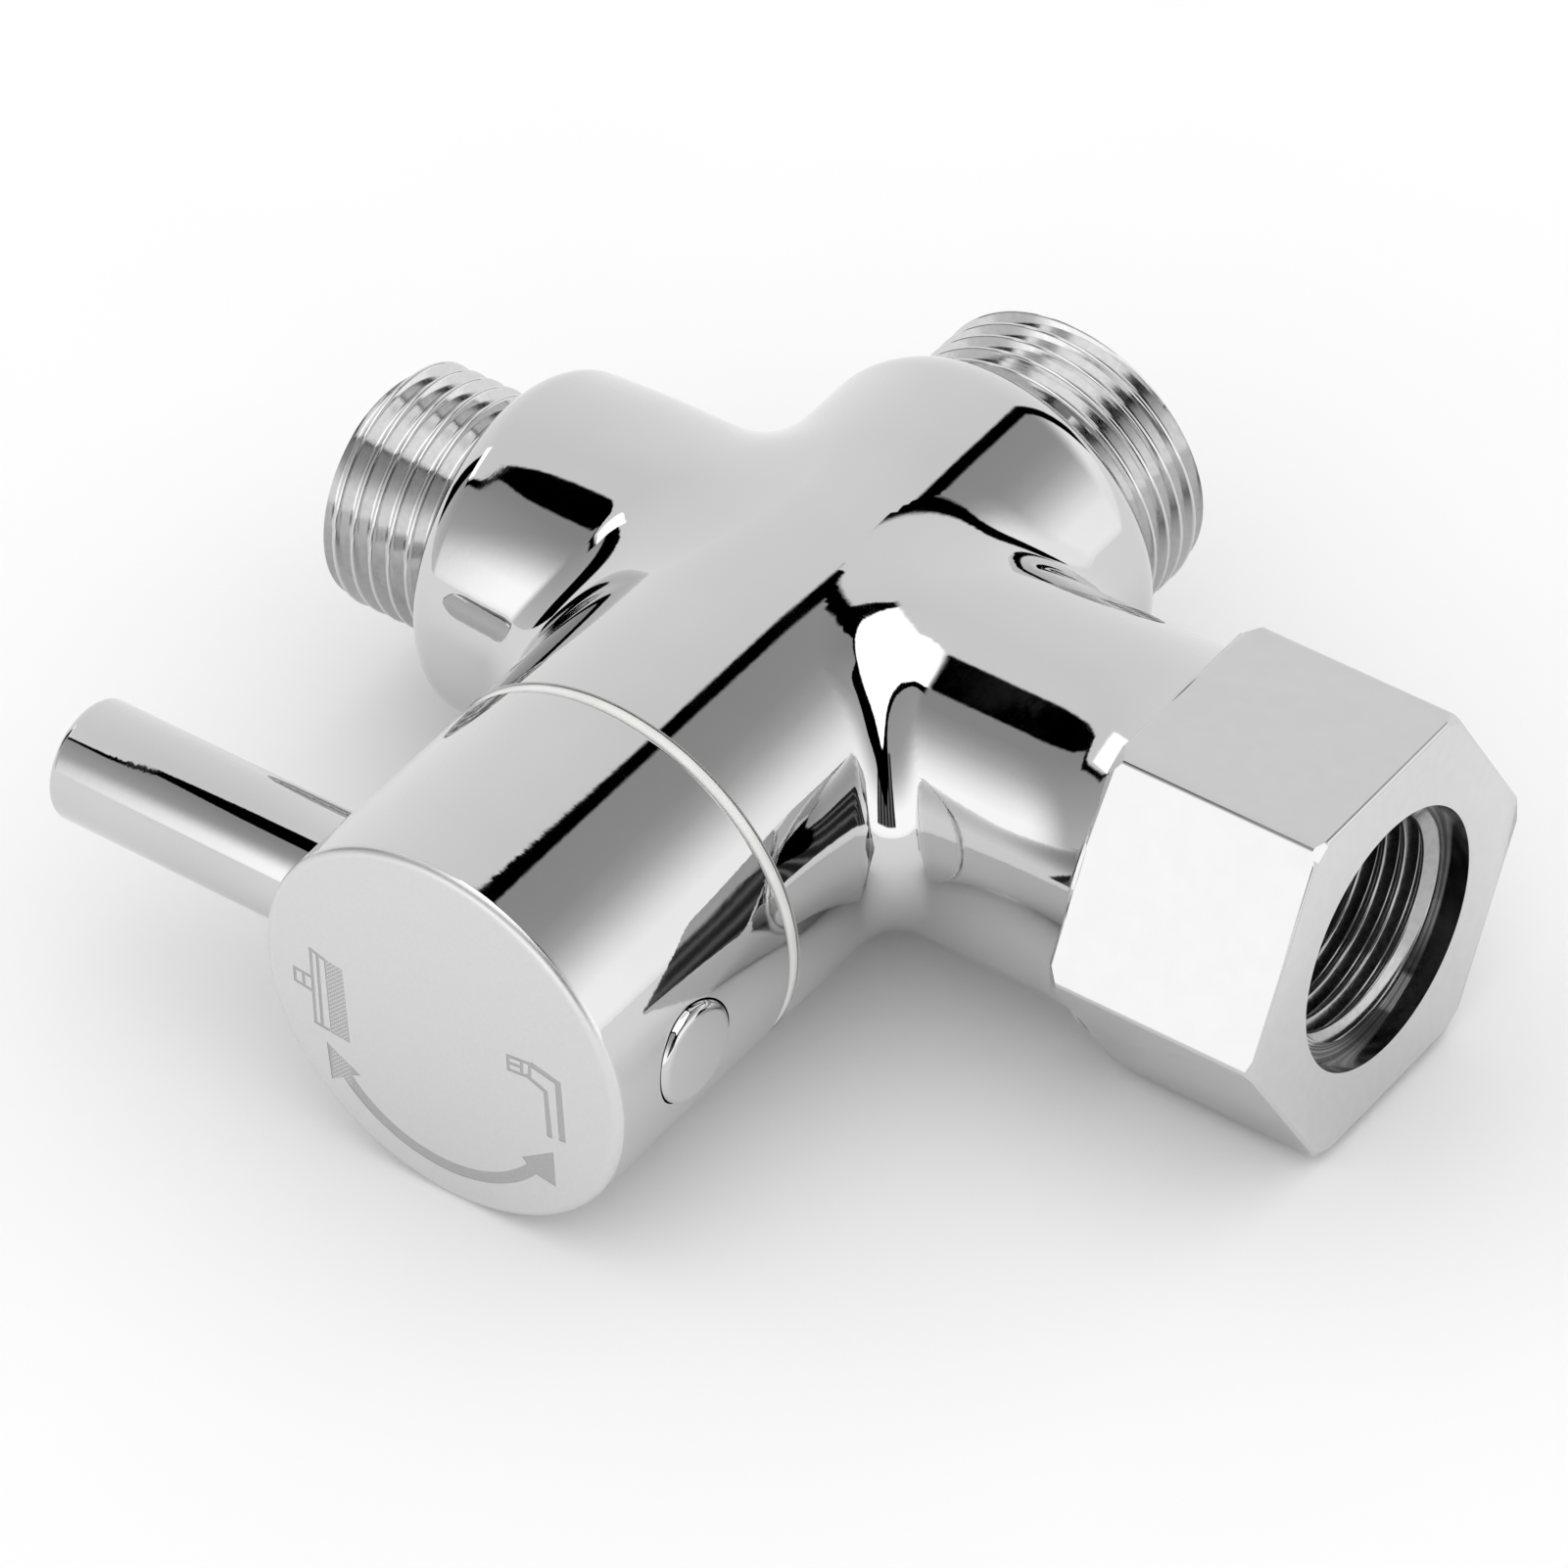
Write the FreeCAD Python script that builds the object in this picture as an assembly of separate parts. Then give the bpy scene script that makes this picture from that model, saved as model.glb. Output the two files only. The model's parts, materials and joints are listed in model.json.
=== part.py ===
import FreeCAD, Part
import math
import os

# Shower diverter valve, in millimetres, with +Z up.
# The barrel runs along Y: the knob is at its -Y end and the large male thread at its +Y end. The arms
# run along X: the small male thread is at the -X end and the hexagonal female inlet at the +X end.
# The lever points to -X at rest. Every size and place here is taken from the point where the two axes
# of the cast body cross, as on a plumber's drawing. The last step sets each piece so that the origin
# is the mouth of the inlet's thread, where the valve is screwed to its pipe.

Vector = FreeCAD.Vector
ALONG_X = Vector(1, 0, 0)
ALONG_Y = Vector(0, 1, 0)
UP = Vector(0, 0, 1)
ORIGIN = Vector(0, 0, 0)

# Pipe threads, as parallel pipe threads are: the male ones are drawn at their crests and the female
# one at its crests too.
HALF_INCH_MALE_RADIUS = 10.478
HALF_INCH_FEMALE_RADIUS = 9.316
THREE_QUARTER_MALE_RADIUS = 13.221

# Cast body: the barrel along Y
BARREL_FRONT_Y = -26.9
BARREL_RADIUS = 17.25
REAR_BOSS_STEP = 0.95
BARREL_EASE_LENGTH = 24.0
EASE_STEPS = 8
REAR_SHOULDER_RADIUS = 4.6
REAR_BOSS_END_Y = 25.1
REAR_THREAD_LENGTH = 9.1
REAR_BORE_RADIUS = 9.0

# Cast body: the arms along X, slimmer than the barrel
ARM_STEP = 2.05
LEFT_BOSS_END_X = -31.3
LEFT_SHOULDER_RADIUS = 2.8
LEFT_THREAD_LENGTH = 11.5
LEFT_BORE_RADIUS = 6.5
LEFT_CASTING_FILLET = 5.0
RIGHT_CASTING_FILLET = 4.0
THREAD_END_CHAMFER = 0.7

# Hexagonal inlet
HEX_BACK_X = 34.5
HEX_LENGTH = 19.25
HEX_STEP = 1.1
HEX_CORNER_CUT = 0.9
HEX_FRONT_CUT_DEPTH = 0.6
HEX_BACK_CUT_DEPTH = 1.2
HEX_ROOT_FILLET = 0.8
INLET_COUNTERBORE_RADIUS = 11.2
INLET_COUNTERBORE_DEPTH = 2.2
INLET_THREAD_LENGTH = 14.0
INLET_RELIEF_RADIUS = 10.6
INLET_RELIEF_LENGTH = 2.5
INLET_BORE_RADIUS = 7.0

# Inlet washer, which lies in the relief behind the female thread
WASHER_RADIUS = 9.25
WASHER_HOLE_RADIUS = 6.2
WASHER_THICKNESS = 2.0

# Half-moon ports of the seat and of the discs, and the rim that is left round them
PORT_BRIDGE = 1.25
PORT_RIM = 2.0

# Cartridge, from the chamber floor at Y = 0 towards the knob
CHAMBER_FLOOR_Y = 0.0
FIXED_DISC_RADIUS = 8.9
FIXED_DISC_CLEARANCE = 0.2
SEAL_THICKNESS = 1.8
DISC_THICKNESS = 3.0
MOVING_DISC_CLEARANCE = 0.6
DRIVER_CLEARANCE = 0.7
DRIVER_THICKNESS = 4.0
DRIVER_RELIEF_DEPTH = 1.5
DRIVER_CUT_X = 4.3
DRIVER_CUT_HALF_HEIGHT = 6.5
TANG_WIDTH = 2.8
TANG_DEPTH = 1.2
TANG_LENGTH = 2.2
TANG_CLEARANCE = 0.1
LUG_WIDTH = 2.6
LUG_DEPTH = 1.4
FLANGE_THICKNESS = 1.4
FLANGE_GAP = 0.1
FLANGE_SET_IN = 1.7
THRUST_WASHER_THICKNESS = 0.8
THRUST_WASHER_CLEARANCE = 0.5
THRUST_WASHER_FIT = 0.1
HOUSING_WALL = 1.6
HOUSING_CLEARANCE = 0.3
HOUSING_FLOOR_GAP = 0.3
HOUSING_FLANGE_CLEARANCE = 0.3
HOUSING_FLANGE_THICKNESS = 2.0
HOUSING_NECK_WALL = 1.4
HOUSING_NECK_LENGTH = 11.0
WINDOW_HALF_HEIGHT = 5.0
WINDOW_MARGIN = 0.5

# Chamber in the barrel, its water ways, and the pins that keep the cartridge from turning
GLAND_THREAD_STEP = 1.0
GLAND_SHOULDER_Y = -19.0
RING_RECESS_RADIUS = 15.0
RING_RECESS_DEPTH = 1.1
INLET_BORE_WALL = 2.6
INLET_SLOT_RADIUS = 4.2
INLET_SLOT_HALF_HEIGHT = 3.5
INLET_SLOT_WALL = 1.0
LEFT_SLOT_RADIUS = 3.6
LEFT_SLOT_HALF_HEIGHT = 2.8
WALL_UNDER_SEAT = 3.2
REAR_CHANNEL_WALL = 2.2
PIN_RADIUS = 0.5
PIN_DEPTH = 1.8
PIN_CLEARANCE = 0.05

# Travel stop inside the cartridge
TRAVEL_DEG = 180.0
STOP_LUG_DEG = 60.0
STOP_SLACK_DEG = 1.0
STOP_GAP = 0.3

# Spindle
SPINDLE_RADIUS = 4.95
SPINDLE_FIT = 0.05
SQUARE_SIDE = 5.8
SQUARE_LENGTH = 2.2
SQUARE_CLEARANCE = 0.1
SPLINE_TEETH = 20
SPLINE_TIP_RADIUS = 4.0
SPLINE_ROOT_RADIUS = 3.6
SPLINE_CLEARANCE = 0.03
SPLINE_PAST_SCREW = 4.2
CLIP_THICKNESS = 0.9
CLIP_RADIUS = 6.0
CLIP_GROOVE_RADIUS = 4.2
CLIP_GAP_DEG = 50.0
CLIP_CLEARANCE = 0.05
SPINDLE_COLLAR = 0.4
SCREW_GROOVE_DEPTH = 0.5
SCREW_GROOVE_HALF_WIDTH = 2.8

# O-rings
SPINDLE_ORING_CORD = 0.75
FRONT_ORING_Y = -25.0
REAR_ORING_Y = -18.5
HOUSING_ORING_CORD = 0.8
HOUSING_ORING_Y = -17.0
ORING_CLEARANCE = 0.02

# Gland nut
GLAND_NUT_CLEARANCE = 0.1
GLAND_NUT_BORE_CLEARANCE = 0.2
GLAND_NUT_HEAD_LENGTH = 4.5
GLAND_NUT_ACROSS_FLATS = 20.0

# White ring between the body and the knob, set in a little from the barrel
RING_SET_IN = 0.15
RING_BORE_CLEARANCE = 0.6
RING_THICKNESS = 1.0
RING_LIP_WALL = 1.5
RING_CLEARANCE = 0.1

# Knob, set in a little from the barrel
KNOB_SET_IN = 0.05
KNOB_LENGTH = 22.05
KNOB_GAP = 0.1
KNOB_WALL = 2.5
KNOB_FACE_THICKNESS = 3.4
KNOB_HUB_RADIUS = 8.5
KNOB_HUB_GAP = 0.6
KNOB_RIB_HALF_WIDTH = 6.6
KNOB_EDGE_RADIUS = 0.8
KNOB_REAR_EDGE = 0.3
SPLINE_FLOOR_GAP = 0.6

# Lever, set screw and plug button, which share one line across the knob
LEVER_LINE_SETBACK = 9.6
LEVER_RADIUS = 5.2
LEVER_REACH = 25.25
LEVER_SEAT_DEPTH = 2.6
LEVER_EDGE_RADIUS = 0.7
LEVER_CLEARANCE = 0.05
LEVER_STUD_RADIUS = 3.0
LEVER_STUD_LENGTH = 5.6
LEVER_HOLE_SPARE = 0.3
STUD_CLEARANCE = 0.02
SCREW_RADIUS = 2.5
SCREW_LENGTH = 6.0
SOCKET_ACROSS_FLATS = 2.5
SOCKET_DEPTH = 2.5
BUTTON_RADIUS = 4.3
BUTTON_PROUD = 0.4
BUTTON_SEAT_DEPTH = 2.6
BUTTON_STEM_RADIUS = 3.5
BUTTON_STEM_LENGTH = 2.7
BUTTON_STEM_SPARE = 0.3
BUTTON_EDGE_RADIUS = 0.7
BUTTON_CLEARANCE = 0.05

# How far a cutting tool runs past the face that it cuts, and a joined bar into the other. A wedge that
# cuts a sector out of a ring reaches this many times the ring's radius.
OVERRUN = 1.0
SECTOR_REACH = 4

# How near an edge has to lie to the circle, or to the two cylinders, that it is looked up by
ON_CIRCLE = 0.01
ON_CROSSING = 0.05

# Radii of the casting that follow from the sizes above
REAR_BOSS_RADIUS = BARREL_RADIUS - REAR_BOSS_STEP
ARM_RADIUS = BARREL_RADIUS - ARM_STEP
HEX_ACROSS_FLATS = 2 * (ARM_RADIUS + HEX_STEP)
HEX_CORNER_RADIUS = HEX_ACROSS_FLATS / math.sqrt(3)

# Radii of the cartridge and the knob that follow, from the discs outwards
PORT_RADIUS = FIXED_DISC_RADIUS - PORT_RIM
HOUSING_BORE_RADIUS = FIXED_DISC_RADIUS + FIXED_DISC_CLEARANCE
MOVING_DISC_RADIUS = HOUSING_BORE_RADIUS - MOVING_DISC_CLEARANCE
DRIVER_RADIUS = HOUSING_BORE_RADIUS - DRIVER_CLEARANCE
FLANGE_RADIUS = HOUSING_BORE_RADIUS - FLANGE_SET_IN
THRUST_WASHER_RADIUS = HOUSING_BORE_RADIUS - THRUST_WASHER_CLEARANCE
HOUSING_RADIUS = HOUSING_BORE_RADIUS + HOUSING_WALL
HOUSING_MIDDLE_RADIUS = HOUSING_BORE_RADIUS + HOUSING_WALL / 2
CHAMBER_RADIUS = HOUSING_RADIUS + HOUSING_CLEARANCE
CHAMBER_WALL_X = CHAMBER_RADIUS + INLET_BORE_WALL
GLAND_THREAD_RADIUS = CHAMBER_RADIUS + GLAND_THREAD_STEP
HOUSING_FLANGE_RADIUS = GLAND_THREAD_RADIUS - HOUSING_FLANGE_CLEARANCE
RING_BORE_RADIUS = GLAND_THREAD_RADIUS + RING_BORE_CLEARANCE
RING_LIP_RADIUS = RING_RECESS_RADIUS - RING_CLEARANCE
RING_RADIUS = BARREL_RADIUS - RING_SET_IN
KNOB_RADIUS = BARREL_RADIUS - KNOB_SET_IN
KNOB_POCKET_RADIUS = KNOB_RADIUS - KNOB_WALL
HOUSING_THROAT_RADIUS = SPINDLE_RADIUS + SPINDLE_FIT
HOUSING_NECK_RADIUS = HOUSING_THROAT_RADIUS + HOUSING_NECK_WALL
SCREW_SEAT_RADIUS = SPLINE_TIP_RADIUS - SCREW_GROOVE_DEPTH

# Places along Y that follow from the sizes above
REAR_THREAD_END_Y = REAR_BOSS_END_Y + REAR_THREAD_LENGTH
LEFT_SLOT_Y = CHAMBER_FLOOR_Y + WALL_UNDER_SEAT + LEFT_SLOT_RADIUS
REAR_CHANNEL_Y = LEFT_SLOT_Y + LEFT_SLOT_RADIUS + REAR_CHANNEL_WALL
SEAL_TOP_Y = CHAMBER_FLOOR_Y - SEAL_THICKNESS
FIXED_DISC_TOP_Y = SEAL_TOP_Y - DISC_THICKNESS
MOVING_DISC_TOP_Y = FIXED_DISC_TOP_Y - DISC_THICKNESS
DRIVER_TOP_Y = MOVING_DISC_TOP_Y - DRIVER_THICKNESS
FLANGE_BOTTOM_Y = DRIVER_TOP_Y - FLANGE_GAP
FLANGE_TOP_Y = FLANGE_BOTTOM_Y - FLANGE_THICKNESS
HOUSING_SHOULDER_Y = FLANGE_TOP_Y - THRUST_WASHER_THICKNESS
HOUSING_FOOT_Y = CHAMBER_FLOOR_Y - HOUSING_FLOOR_GAP
HOUSING_FLANGE_TOP_Y = GLAND_SHOULDER_Y - HOUSING_FLANGE_THICKNESS
NECK_END_Y = HOUSING_FLANGE_TOP_Y - HOUSING_NECK_LENGTH
PIN_FRONT_Y = CHAMBER_FLOOR_Y - PIN_DEPTH
PIN_BACK_Y = CHAMBER_FLOOR_Y + PIN_DEPTH
CLIP_BOTTOM_Y = NECK_END_Y - CLIP_CLEARANCE
CLIP_TOP_Y = CLIP_BOTTOM_Y - CLIP_THICKNESS
SPLINE_START_Y = CLIP_TOP_Y - SPINDLE_COLLAR
RING_FRONT_Y = BARREL_FRONT_Y - RING_THICKNESS
KNOB_REAR_Y = RING_FRONT_Y - KNOB_GAP
KNOB_FACE_Y = KNOB_REAR_Y - KNOB_LENGTH
KNOB_INNER_FACE_Y = KNOB_FACE_Y + KNOB_FACE_THICKNESS
KNOB_HUB_REAR_Y = SPLINE_START_Y - KNOB_HUB_GAP
LEVER_LINE_Y = KNOB_FACE_Y + LEVER_LINE_SETBACK
SPINDLE_END_Y = LEVER_LINE_Y - SPLINE_PAST_SCREW

# Places along X that follow from the sizes above
LEFT_THREAD_END_X = LEFT_BOSS_END_X - LEFT_THREAD_LENGTH
HEX_FACE_X = HEX_BACK_X + HEX_LENGTH
INLET_THREAD_TOP_X = HEX_FACE_X - INLET_COUNTERBORE_DEPTH
INLET_THREAD_END_X = INLET_THREAD_TOP_X - INLET_THREAD_LENGTH
INLET_SEAT_X = INLET_THREAD_END_X - INLET_RELIEF_LENGTH
LEVER_TIP_X = -KNOB_RADIUS - LEVER_REACH
LEVER_SEAT_X = LEVER_SEAT_DEPTH - KNOB_RADIUS
LEVER_STUD_END_X = LEVER_SEAT_X + LEVER_STUD_LENGTH
BUTTON_FACE_X = KNOB_RADIUS + BUTTON_PROUD
BUTTON_SEAT_X = KNOB_RADIUS - BUTTON_SEAT_DEPTH
BUTTON_STEM_END_X = BUTTON_SEAT_X - BUTTON_STEM_LENGTH
SCREW_HOLE_END_X = BUTTON_STEM_END_X - BUTTON_STEM_SPARE
TO_INLET = Vector(-INLET_THREAD_TOP_X, 0, 0)


def cylinder_x(radius, x_from, x_to, y=0.0, z=0.0):
    """A round bar along X."""
    low = min(x_from, x_to)
    return Part.makeCylinder(radius, abs(x_to - x_from), Vector(low, y, z), ALONG_X)


def cylinder_y(radius, y_from, y_to, x=0.0, z=0.0):
    """A round bar along Y."""
    low = min(y_from, y_to)
    return Part.makeCylinder(radius, abs(y_to - y_from), Vector(x, low, z), ALONG_Y)


def block(x_range, y_range, z_range):
    """A box between two places on each axis."""
    size = [high - low for low, high in (x_range, y_range, z_range)]
    corner = Vector(x_range[0], y_range[0], z_range[0])
    return Part.makeBox(size[0], size[1], size[2], corner)


def slot_x(radius, half_height, x_from, x_to, y):
    """A passage along X whose section is a slot that stands upright."""
    along = (min(x_from, x_to), max(x_from, x_to))
    slot = block(along, (y - radius, y + radius), (-half_height, half_height))
    for z in (-half_height, half_height):
        slot = slot.fuse(cylinder_x(radius, x_from, x_to, y, z))
    return slot.removeSplitter()


def half_moon(side, radius, bridge, y_from, y_to):
    """A half-moon bar along Y, on the +X or the -X side of the bridge between two ports."""
    reach = radius + OVERRUN
    far = side * reach
    near = side * bridge
    keep = block((min(near, far), max(near, far)), (y_from, y_to), (-reach, reach))
    return cylinder_y(radius, y_from, y_to).common(keep)


def sector_y(inner, outer, y_from, y_to, middle_deg, width_deg):
    """Part of a ring about Y. Angles run from +X towards +Z."""
    ring = cylinder_y(outer, y_from, y_to).cut(cylinder_y(inner, y_from, y_to))
    reach = SECTOR_REACH * outer
    rays = []
    for share in (-0.5, 0.0, 0.5):
        angle = math.radians(middle_deg + share * width_deg)
        rays.append(Vector(reach * math.cos(angle), y_from, reach * math.sin(angle)))
    axis_point = Vector(0, y_from, 0)
    wedge = Part.Face(Part.makePolygon([axis_point] + rays + [axis_point]))
    return ring.common(wedge.extrude(Vector(0, y_to - y_from, 0)))


def hexagon_bar(across_flats, start, direction, length):
    """A hexagonal bar with one pair of its flats level, at the top and at the bottom."""
    corner = across_flats / math.sqrt(3)
    sideways = direction.cross(UP)
    points = []
    for index in range(7):
        angle = math.radians(30 + 60 * index)
        spoke = UP * math.cos(angle) + sideways * math.sin(angle)
        points.append(start + spoke * corner)
    return Part.Face(Part.makePolygon(points)).extrude(direction * length)


def o_ring(centre_radius, cord_radius, y):
    """A rubber ring about Y."""
    return Part.makeTorus(centre_radius, cord_radius, Vector(0, y, 0), ALONG_Y)


def ease(share):
    """A smooth step from 0 to 1."""
    return (1 - math.cos(math.pi * share)) / 2


def barrel_radius(y):
    """The barrel is a little slimmer behind the crossing than in front of it."""
    share = min(1.0, max(0.0, 0.5 + y / BARREL_EASE_LENGTH))
    return BARREL_RADIUS + (REAR_BOSS_RADIUS - BARREL_RADIUS) * ease(share)


def barrel():
    """The cast barrel as one turned form with a rounded shoulder at the rear."""
    shoulder_y = REAR_BOSS_END_Y - REAR_SHOULDER_RADIUS
    eased = []
    for index in range(EASE_STEPS + 1):
        y = BARREL_EASE_LENGTH * (index / EASE_STEPS - 0.5)
        eased.append(Vector(barrel_radius(y), y, 0))
    flank = Part.BSplineCurve()
    flank.interpolate(Points=eased, InitialTangent=ALONG_Y, FinalTangent=ALONG_Y)
    front_edge = Vector(BARREL_RADIUS, BARREL_FRONT_Y, 0)
    shoulder_start = Vector(REAR_BOSS_RADIUS, shoulder_y, 0)
    diagonal = REAR_SHOULDER_RADIUS * math.sqrt(0.5)
    arc_centre_x = REAR_BOSS_RADIUS - REAR_SHOULDER_RADIUS
    shoulder_middle = Vector(arc_centre_x + diagonal, shoulder_y + diagonal, 0)
    shoulder_end = Vector(arc_centre_x, REAR_BOSS_END_Y, 0)
    edges = [
        Part.makeLine(Vector(0, BARREL_FRONT_Y, 0), front_edge),
        Part.makeLine(front_edge, eased[0]),
        flank.toShape(),
        Part.makeLine(eased[-1], shoulder_start),
        Part.Arc(shoulder_start, shoulder_middle, shoulder_end).toShape(),
        Part.makeLine(shoulder_end, Vector(0, REAR_BOSS_END_Y, 0)),
        Part.makeLine(Vector(0, REAR_BOSS_END_Y, 0), Vector(0, BARREL_FRONT_Y, 0)),
    ]
    return Part.Face(Part.Wire(edges)).revolve(ORIGIN, ALONG_Y, 360)


def edges_near(shape, test):
    """The edges of a shape whose middle passes a test."""
    found = []
    for edge in shape.Edges:
        middle = edge.valueAt((edge.FirstParameter + edge.LastParameter) / 2)
        if test(middle):
            found.append(edge)
    return found


def end_circle(x, radius):
    """A test for the full circle of an arm's end."""

    def test(middle):
        off_axis = math.hypot(middle.y, middle.z)
        return abs(middle.x - x) < ON_CIRCLE and abs(off_axis - radius) < ON_CIRCLE

    return test


def arms():
    """The two cast arms, with the left one rounded off at its end."""
    bar = cylinder_x(ARM_RADIUS, LEFT_BOSS_END_X, HEX_BACK_X)
    return bar.makeFillet(LEFT_SHOULDER_RADIUS, edges_near(bar, end_circle(LEFT_BOSS_END_X, ARM_RADIUS)))


def cast_skin():
    """Barrel and arms as one casting, with the fillets of the mould where they meet."""
    casting = barrel().fuse(arms())
    crossing_reach = BARREL_RADIUS + OVERRUN

    def on_crossing(side):
        def test(middle):
            off_arm = abs(math.hypot(middle.y, middle.z) - ARM_RADIUS)
            off_barrel = abs(math.hypot(middle.x, middle.z) - barrel_radius(middle.y))
            near_both = off_arm < ON_CROSSING and off_barrel < ON_CROSSING
            return near_both and 0 < side * middle.x < crossing_reach

        return test

    casting = casting.makeFillet(RIGHT_CASTING_FILLET, edges_near(casting, on_crossing(1)))
    return casting.makeFillet(LEFT_CASTING_FILLET, edges_near(casting, on_crossing(-1)))


def hexagon():
    """The wrench hexagon of the inlet, with its corners turned off at both ends."""
    prism = hexagon_bar(HEX_ACROSS_FLATS, Vector(HEX_BACK_X, 0, 0), ALONG_X, HEX_LENGTH)
    cut_radius = HEX_CORNER_RADIUS - HEX_CORNER_CUT
    outline = [
        Vector(HEX_BACK_X, 0, 0),
        Vector(HEX_BACK_X, 0, cut_radius),
        Vector(HEX_BACK_X + HEX_BACK_CUT_DEPTH, 0, HEX_CORNER_RADIUS),
        Vector(HEX_FACE_X - HEX_FRONT_CUT_DEPTH, 0, HEX_CORNER_RADIUS),
        Vector(HEX_FACE_X, 0, cut_radius),
        Vector(HEX_FACE_X, 0, 0),
        Vector(HEX_BACK_X, 0, 0),
    ]
    turned = Part.Face(Part.makePolygon(outline)).revolve(ORIGIN, ALONG_X, 360)
    return prism.common(turned)


def male_end(radius, start, direction, length):
    """A thread drawn at its crests, with its end chamfered."""
    plain = Part.makeCylinder(radius, length - THREAD_END_CHAMFER, start, direction)
    tip_start = start + direction * (length - THREAD_END_CHAMFER)
    tip = Part.makeCone(radius, radius - THREAD_END_CHAMFER, THREAD_END_CHAMFER, tip_start, direction)
    return plain.fuse(tip)


def water_ways():
    """Everything that is bored and cored out of the body."""
    inlet_slot_start_x = CHAMBER_RADIUS - INLET_BORE_WALL
    inlet_slot_end_x = CHAMBER_WALL_X + OVERRUN
    inlet_slot_y = CHAMBER_FLOOR_Y - INLET_SLOT_WALL - INLET_SLOT_RADIUS
    left_slot_start_x = -CHAMBER_WALL_X - OVERRUN
    left_slot_end_x = -PORT_BRIDGE - OVERRUN
    return [
        cylinder_y(GLAND_THREAD_RADIUS, BARREL_FRONT_Y - OVERRUN, GLAND_SHOULDER_Y),
        cylinder_y(RING_RECESS_RADIUS, BARREL_FRONT_Y - OVERRUN, BARREL_FRONT_Y + RING_RECESS_DEPTH),
        cylinder_y(CHAMBER_RADIUS, GLAND_SHOULDER_Y, CHAMBER_FLOOR_Y),
        half_moon(1, PORT_RADIUS, PORT_BRIDGE, CHAMBER_FLOOR_Y, REAR_CHANNEL_Y + OVERRUN),
        half_moon(-1, PORT_RADIUS, PORT_BRIDGE, CHAMBER_FLOOR_Y, LEFT_SLOT_Y + LEFT_SLOT_RADIUS),
        cylinder_y(REAR_BORE_RADIUS, REAR_CHANNEL_Y, REAR_THREAD_END_Y + OVERRUN),
        cylinder_x(LEFT_BORE_RADIUS, LEFT_THREAD_END_X - OVERRUN, -CHAMBER_WALL_X),
        slot_x(LEFT_SLOT_RADIUS, LEFT_SLOT_HALF_HEIGHT, left_slot_start_x, left_slot_end_x, LEFT_SLOT_Y),
        cylinder_x(INLET_COUNTERBORE_RADIUS, INLET_THREAD_TOP_X, HEX_FACE_X + OVERRUN),
        cylinder_x(HALF_INCH_FEMALE_RADIUS, INLET_THREAD_END_X, INLET_THREAD_TOP_X),
        cylinder_x(INLET_RELIEF_RADIUS, INLET_SEAT_X, INLET_THREAD_END_X),
        cylinder_x(INLET_BORE_RADIUS, CHAMBER_WALL_X, INLET_SEAT_X),
        slot_x(INLET_SLOT_RADIUS, INLET_SLOT_HALF_HEIGHT, inlet_slot_start_x, inlet_slot_end_x, inlet_slot_y),
    ]


def pin_holes(y_from, y_to):
    """The blind holes that the two locating pins need, in the body or in the housing."""
    radius = PIN_RADIUS + PIN_CLEARANCE
    return [cylinder_y(radius, y_from, y_to, 0, side * HOUSING_MIDDLE_RADIUS) for side in (1, -1)]


def valve_body():
    """One brass casting with its hexagon, its threads and its water ways."""
    body = cast_skin().fuse(hexagon())
    root = edges_near(body, end_circle(HEX_BACK_X, ARM_RADIUS))
    body = body.makeFillet(HEX_ROOT_FILLET, root)
    left_start = Vector(LEFT_BOSS_END_X + OVERRUN, 0, 0)
    left = male_end(HALF_INCH_MALE_RADIUS, left_start, -ALONG_X, LEFT_THREAD_LENGTH + OVERRUN)
    rear_start = Vector(0, REAR_BOSS_END_Y - REAR_SHOULDER_RADIUS, 0)
    rear_length = REAR_THREAD_LENGTH + REAR_SHOULDER_RADIUS
    rear = male_end(THREE_QUARTER_MALE_RADIUS, rear_start, ALONG_Y, rear_length)
    body = body.fuse([left, rear])
    body = body.cut(water_ways() + pin_holes(CHAMBER_FLOOR_Y, PIN_BACK_Y))
    return body.removeSplitter()


def inlet_washer():
    """The flat rubber washer in the relief behind the female thread."""
    top = INLET_SEAT_X + WASHER_THICKNESS
    hole = cylinder_x(WASHER_HOLE_RADIUS, INLET_SEAT_X, top)
    return cylinder_x(WASHER_RADIUS, INLET_SEAT_X, top).cut(hole)


def seat_seal():
    """The moulded rubber seal under the fixed disc, with one hole for each port."""
    seal = cylinder_y(FIXED_DISC_RADIUS, SEAL_TOP_Y, CHAMBER_FLOOR_Y)
    for side in (1, -1):
        seal = seal.cut(half_moon(side, PORT_RADIUS, PORT_BRIDGE, SEAL_TOP_Y, CHAMBER_FLOOR_Y))
    return seal


def rim_blocks(width, inner, outer, y_from, y_to):
    """Two blocks at a disc's rim, one at the top and one at the bottom."""
    across = (-width / 2, width / 2)
    return [block(across, (y_from, y_to), (inner, outer)), block(across, (y_from, y_to), (-outer, -inner))]


def fixed_disc():
    """The ceramic disc that stays in the cartridge, with both half-moon ports."""
    disc = cylinder_y(FIXED_DISC_RADIUS, FIXED_DISC_TOP_Y, SEAL_TOP_Y)
    for side in (1, -1):
        disc = disc.cut(half_moon(side, PORT_RADIUS, PORT_BRIDGE, FIXED_DISC_TOP_Y, SEAL_TOP_Y))
    width = LUG_WIDTH + 2 * TANG_CLEARANCE
    floor = HOUSING_BORE_RADIUS - LUG_DEPTH - TANG_CLEARANCE
    return disc.cut(rim_blocks(width, floor, HOUSING_BORE_RADIUS, FIXED_DISC_TOP_Y, SEAL_TOP_Y))


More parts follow.
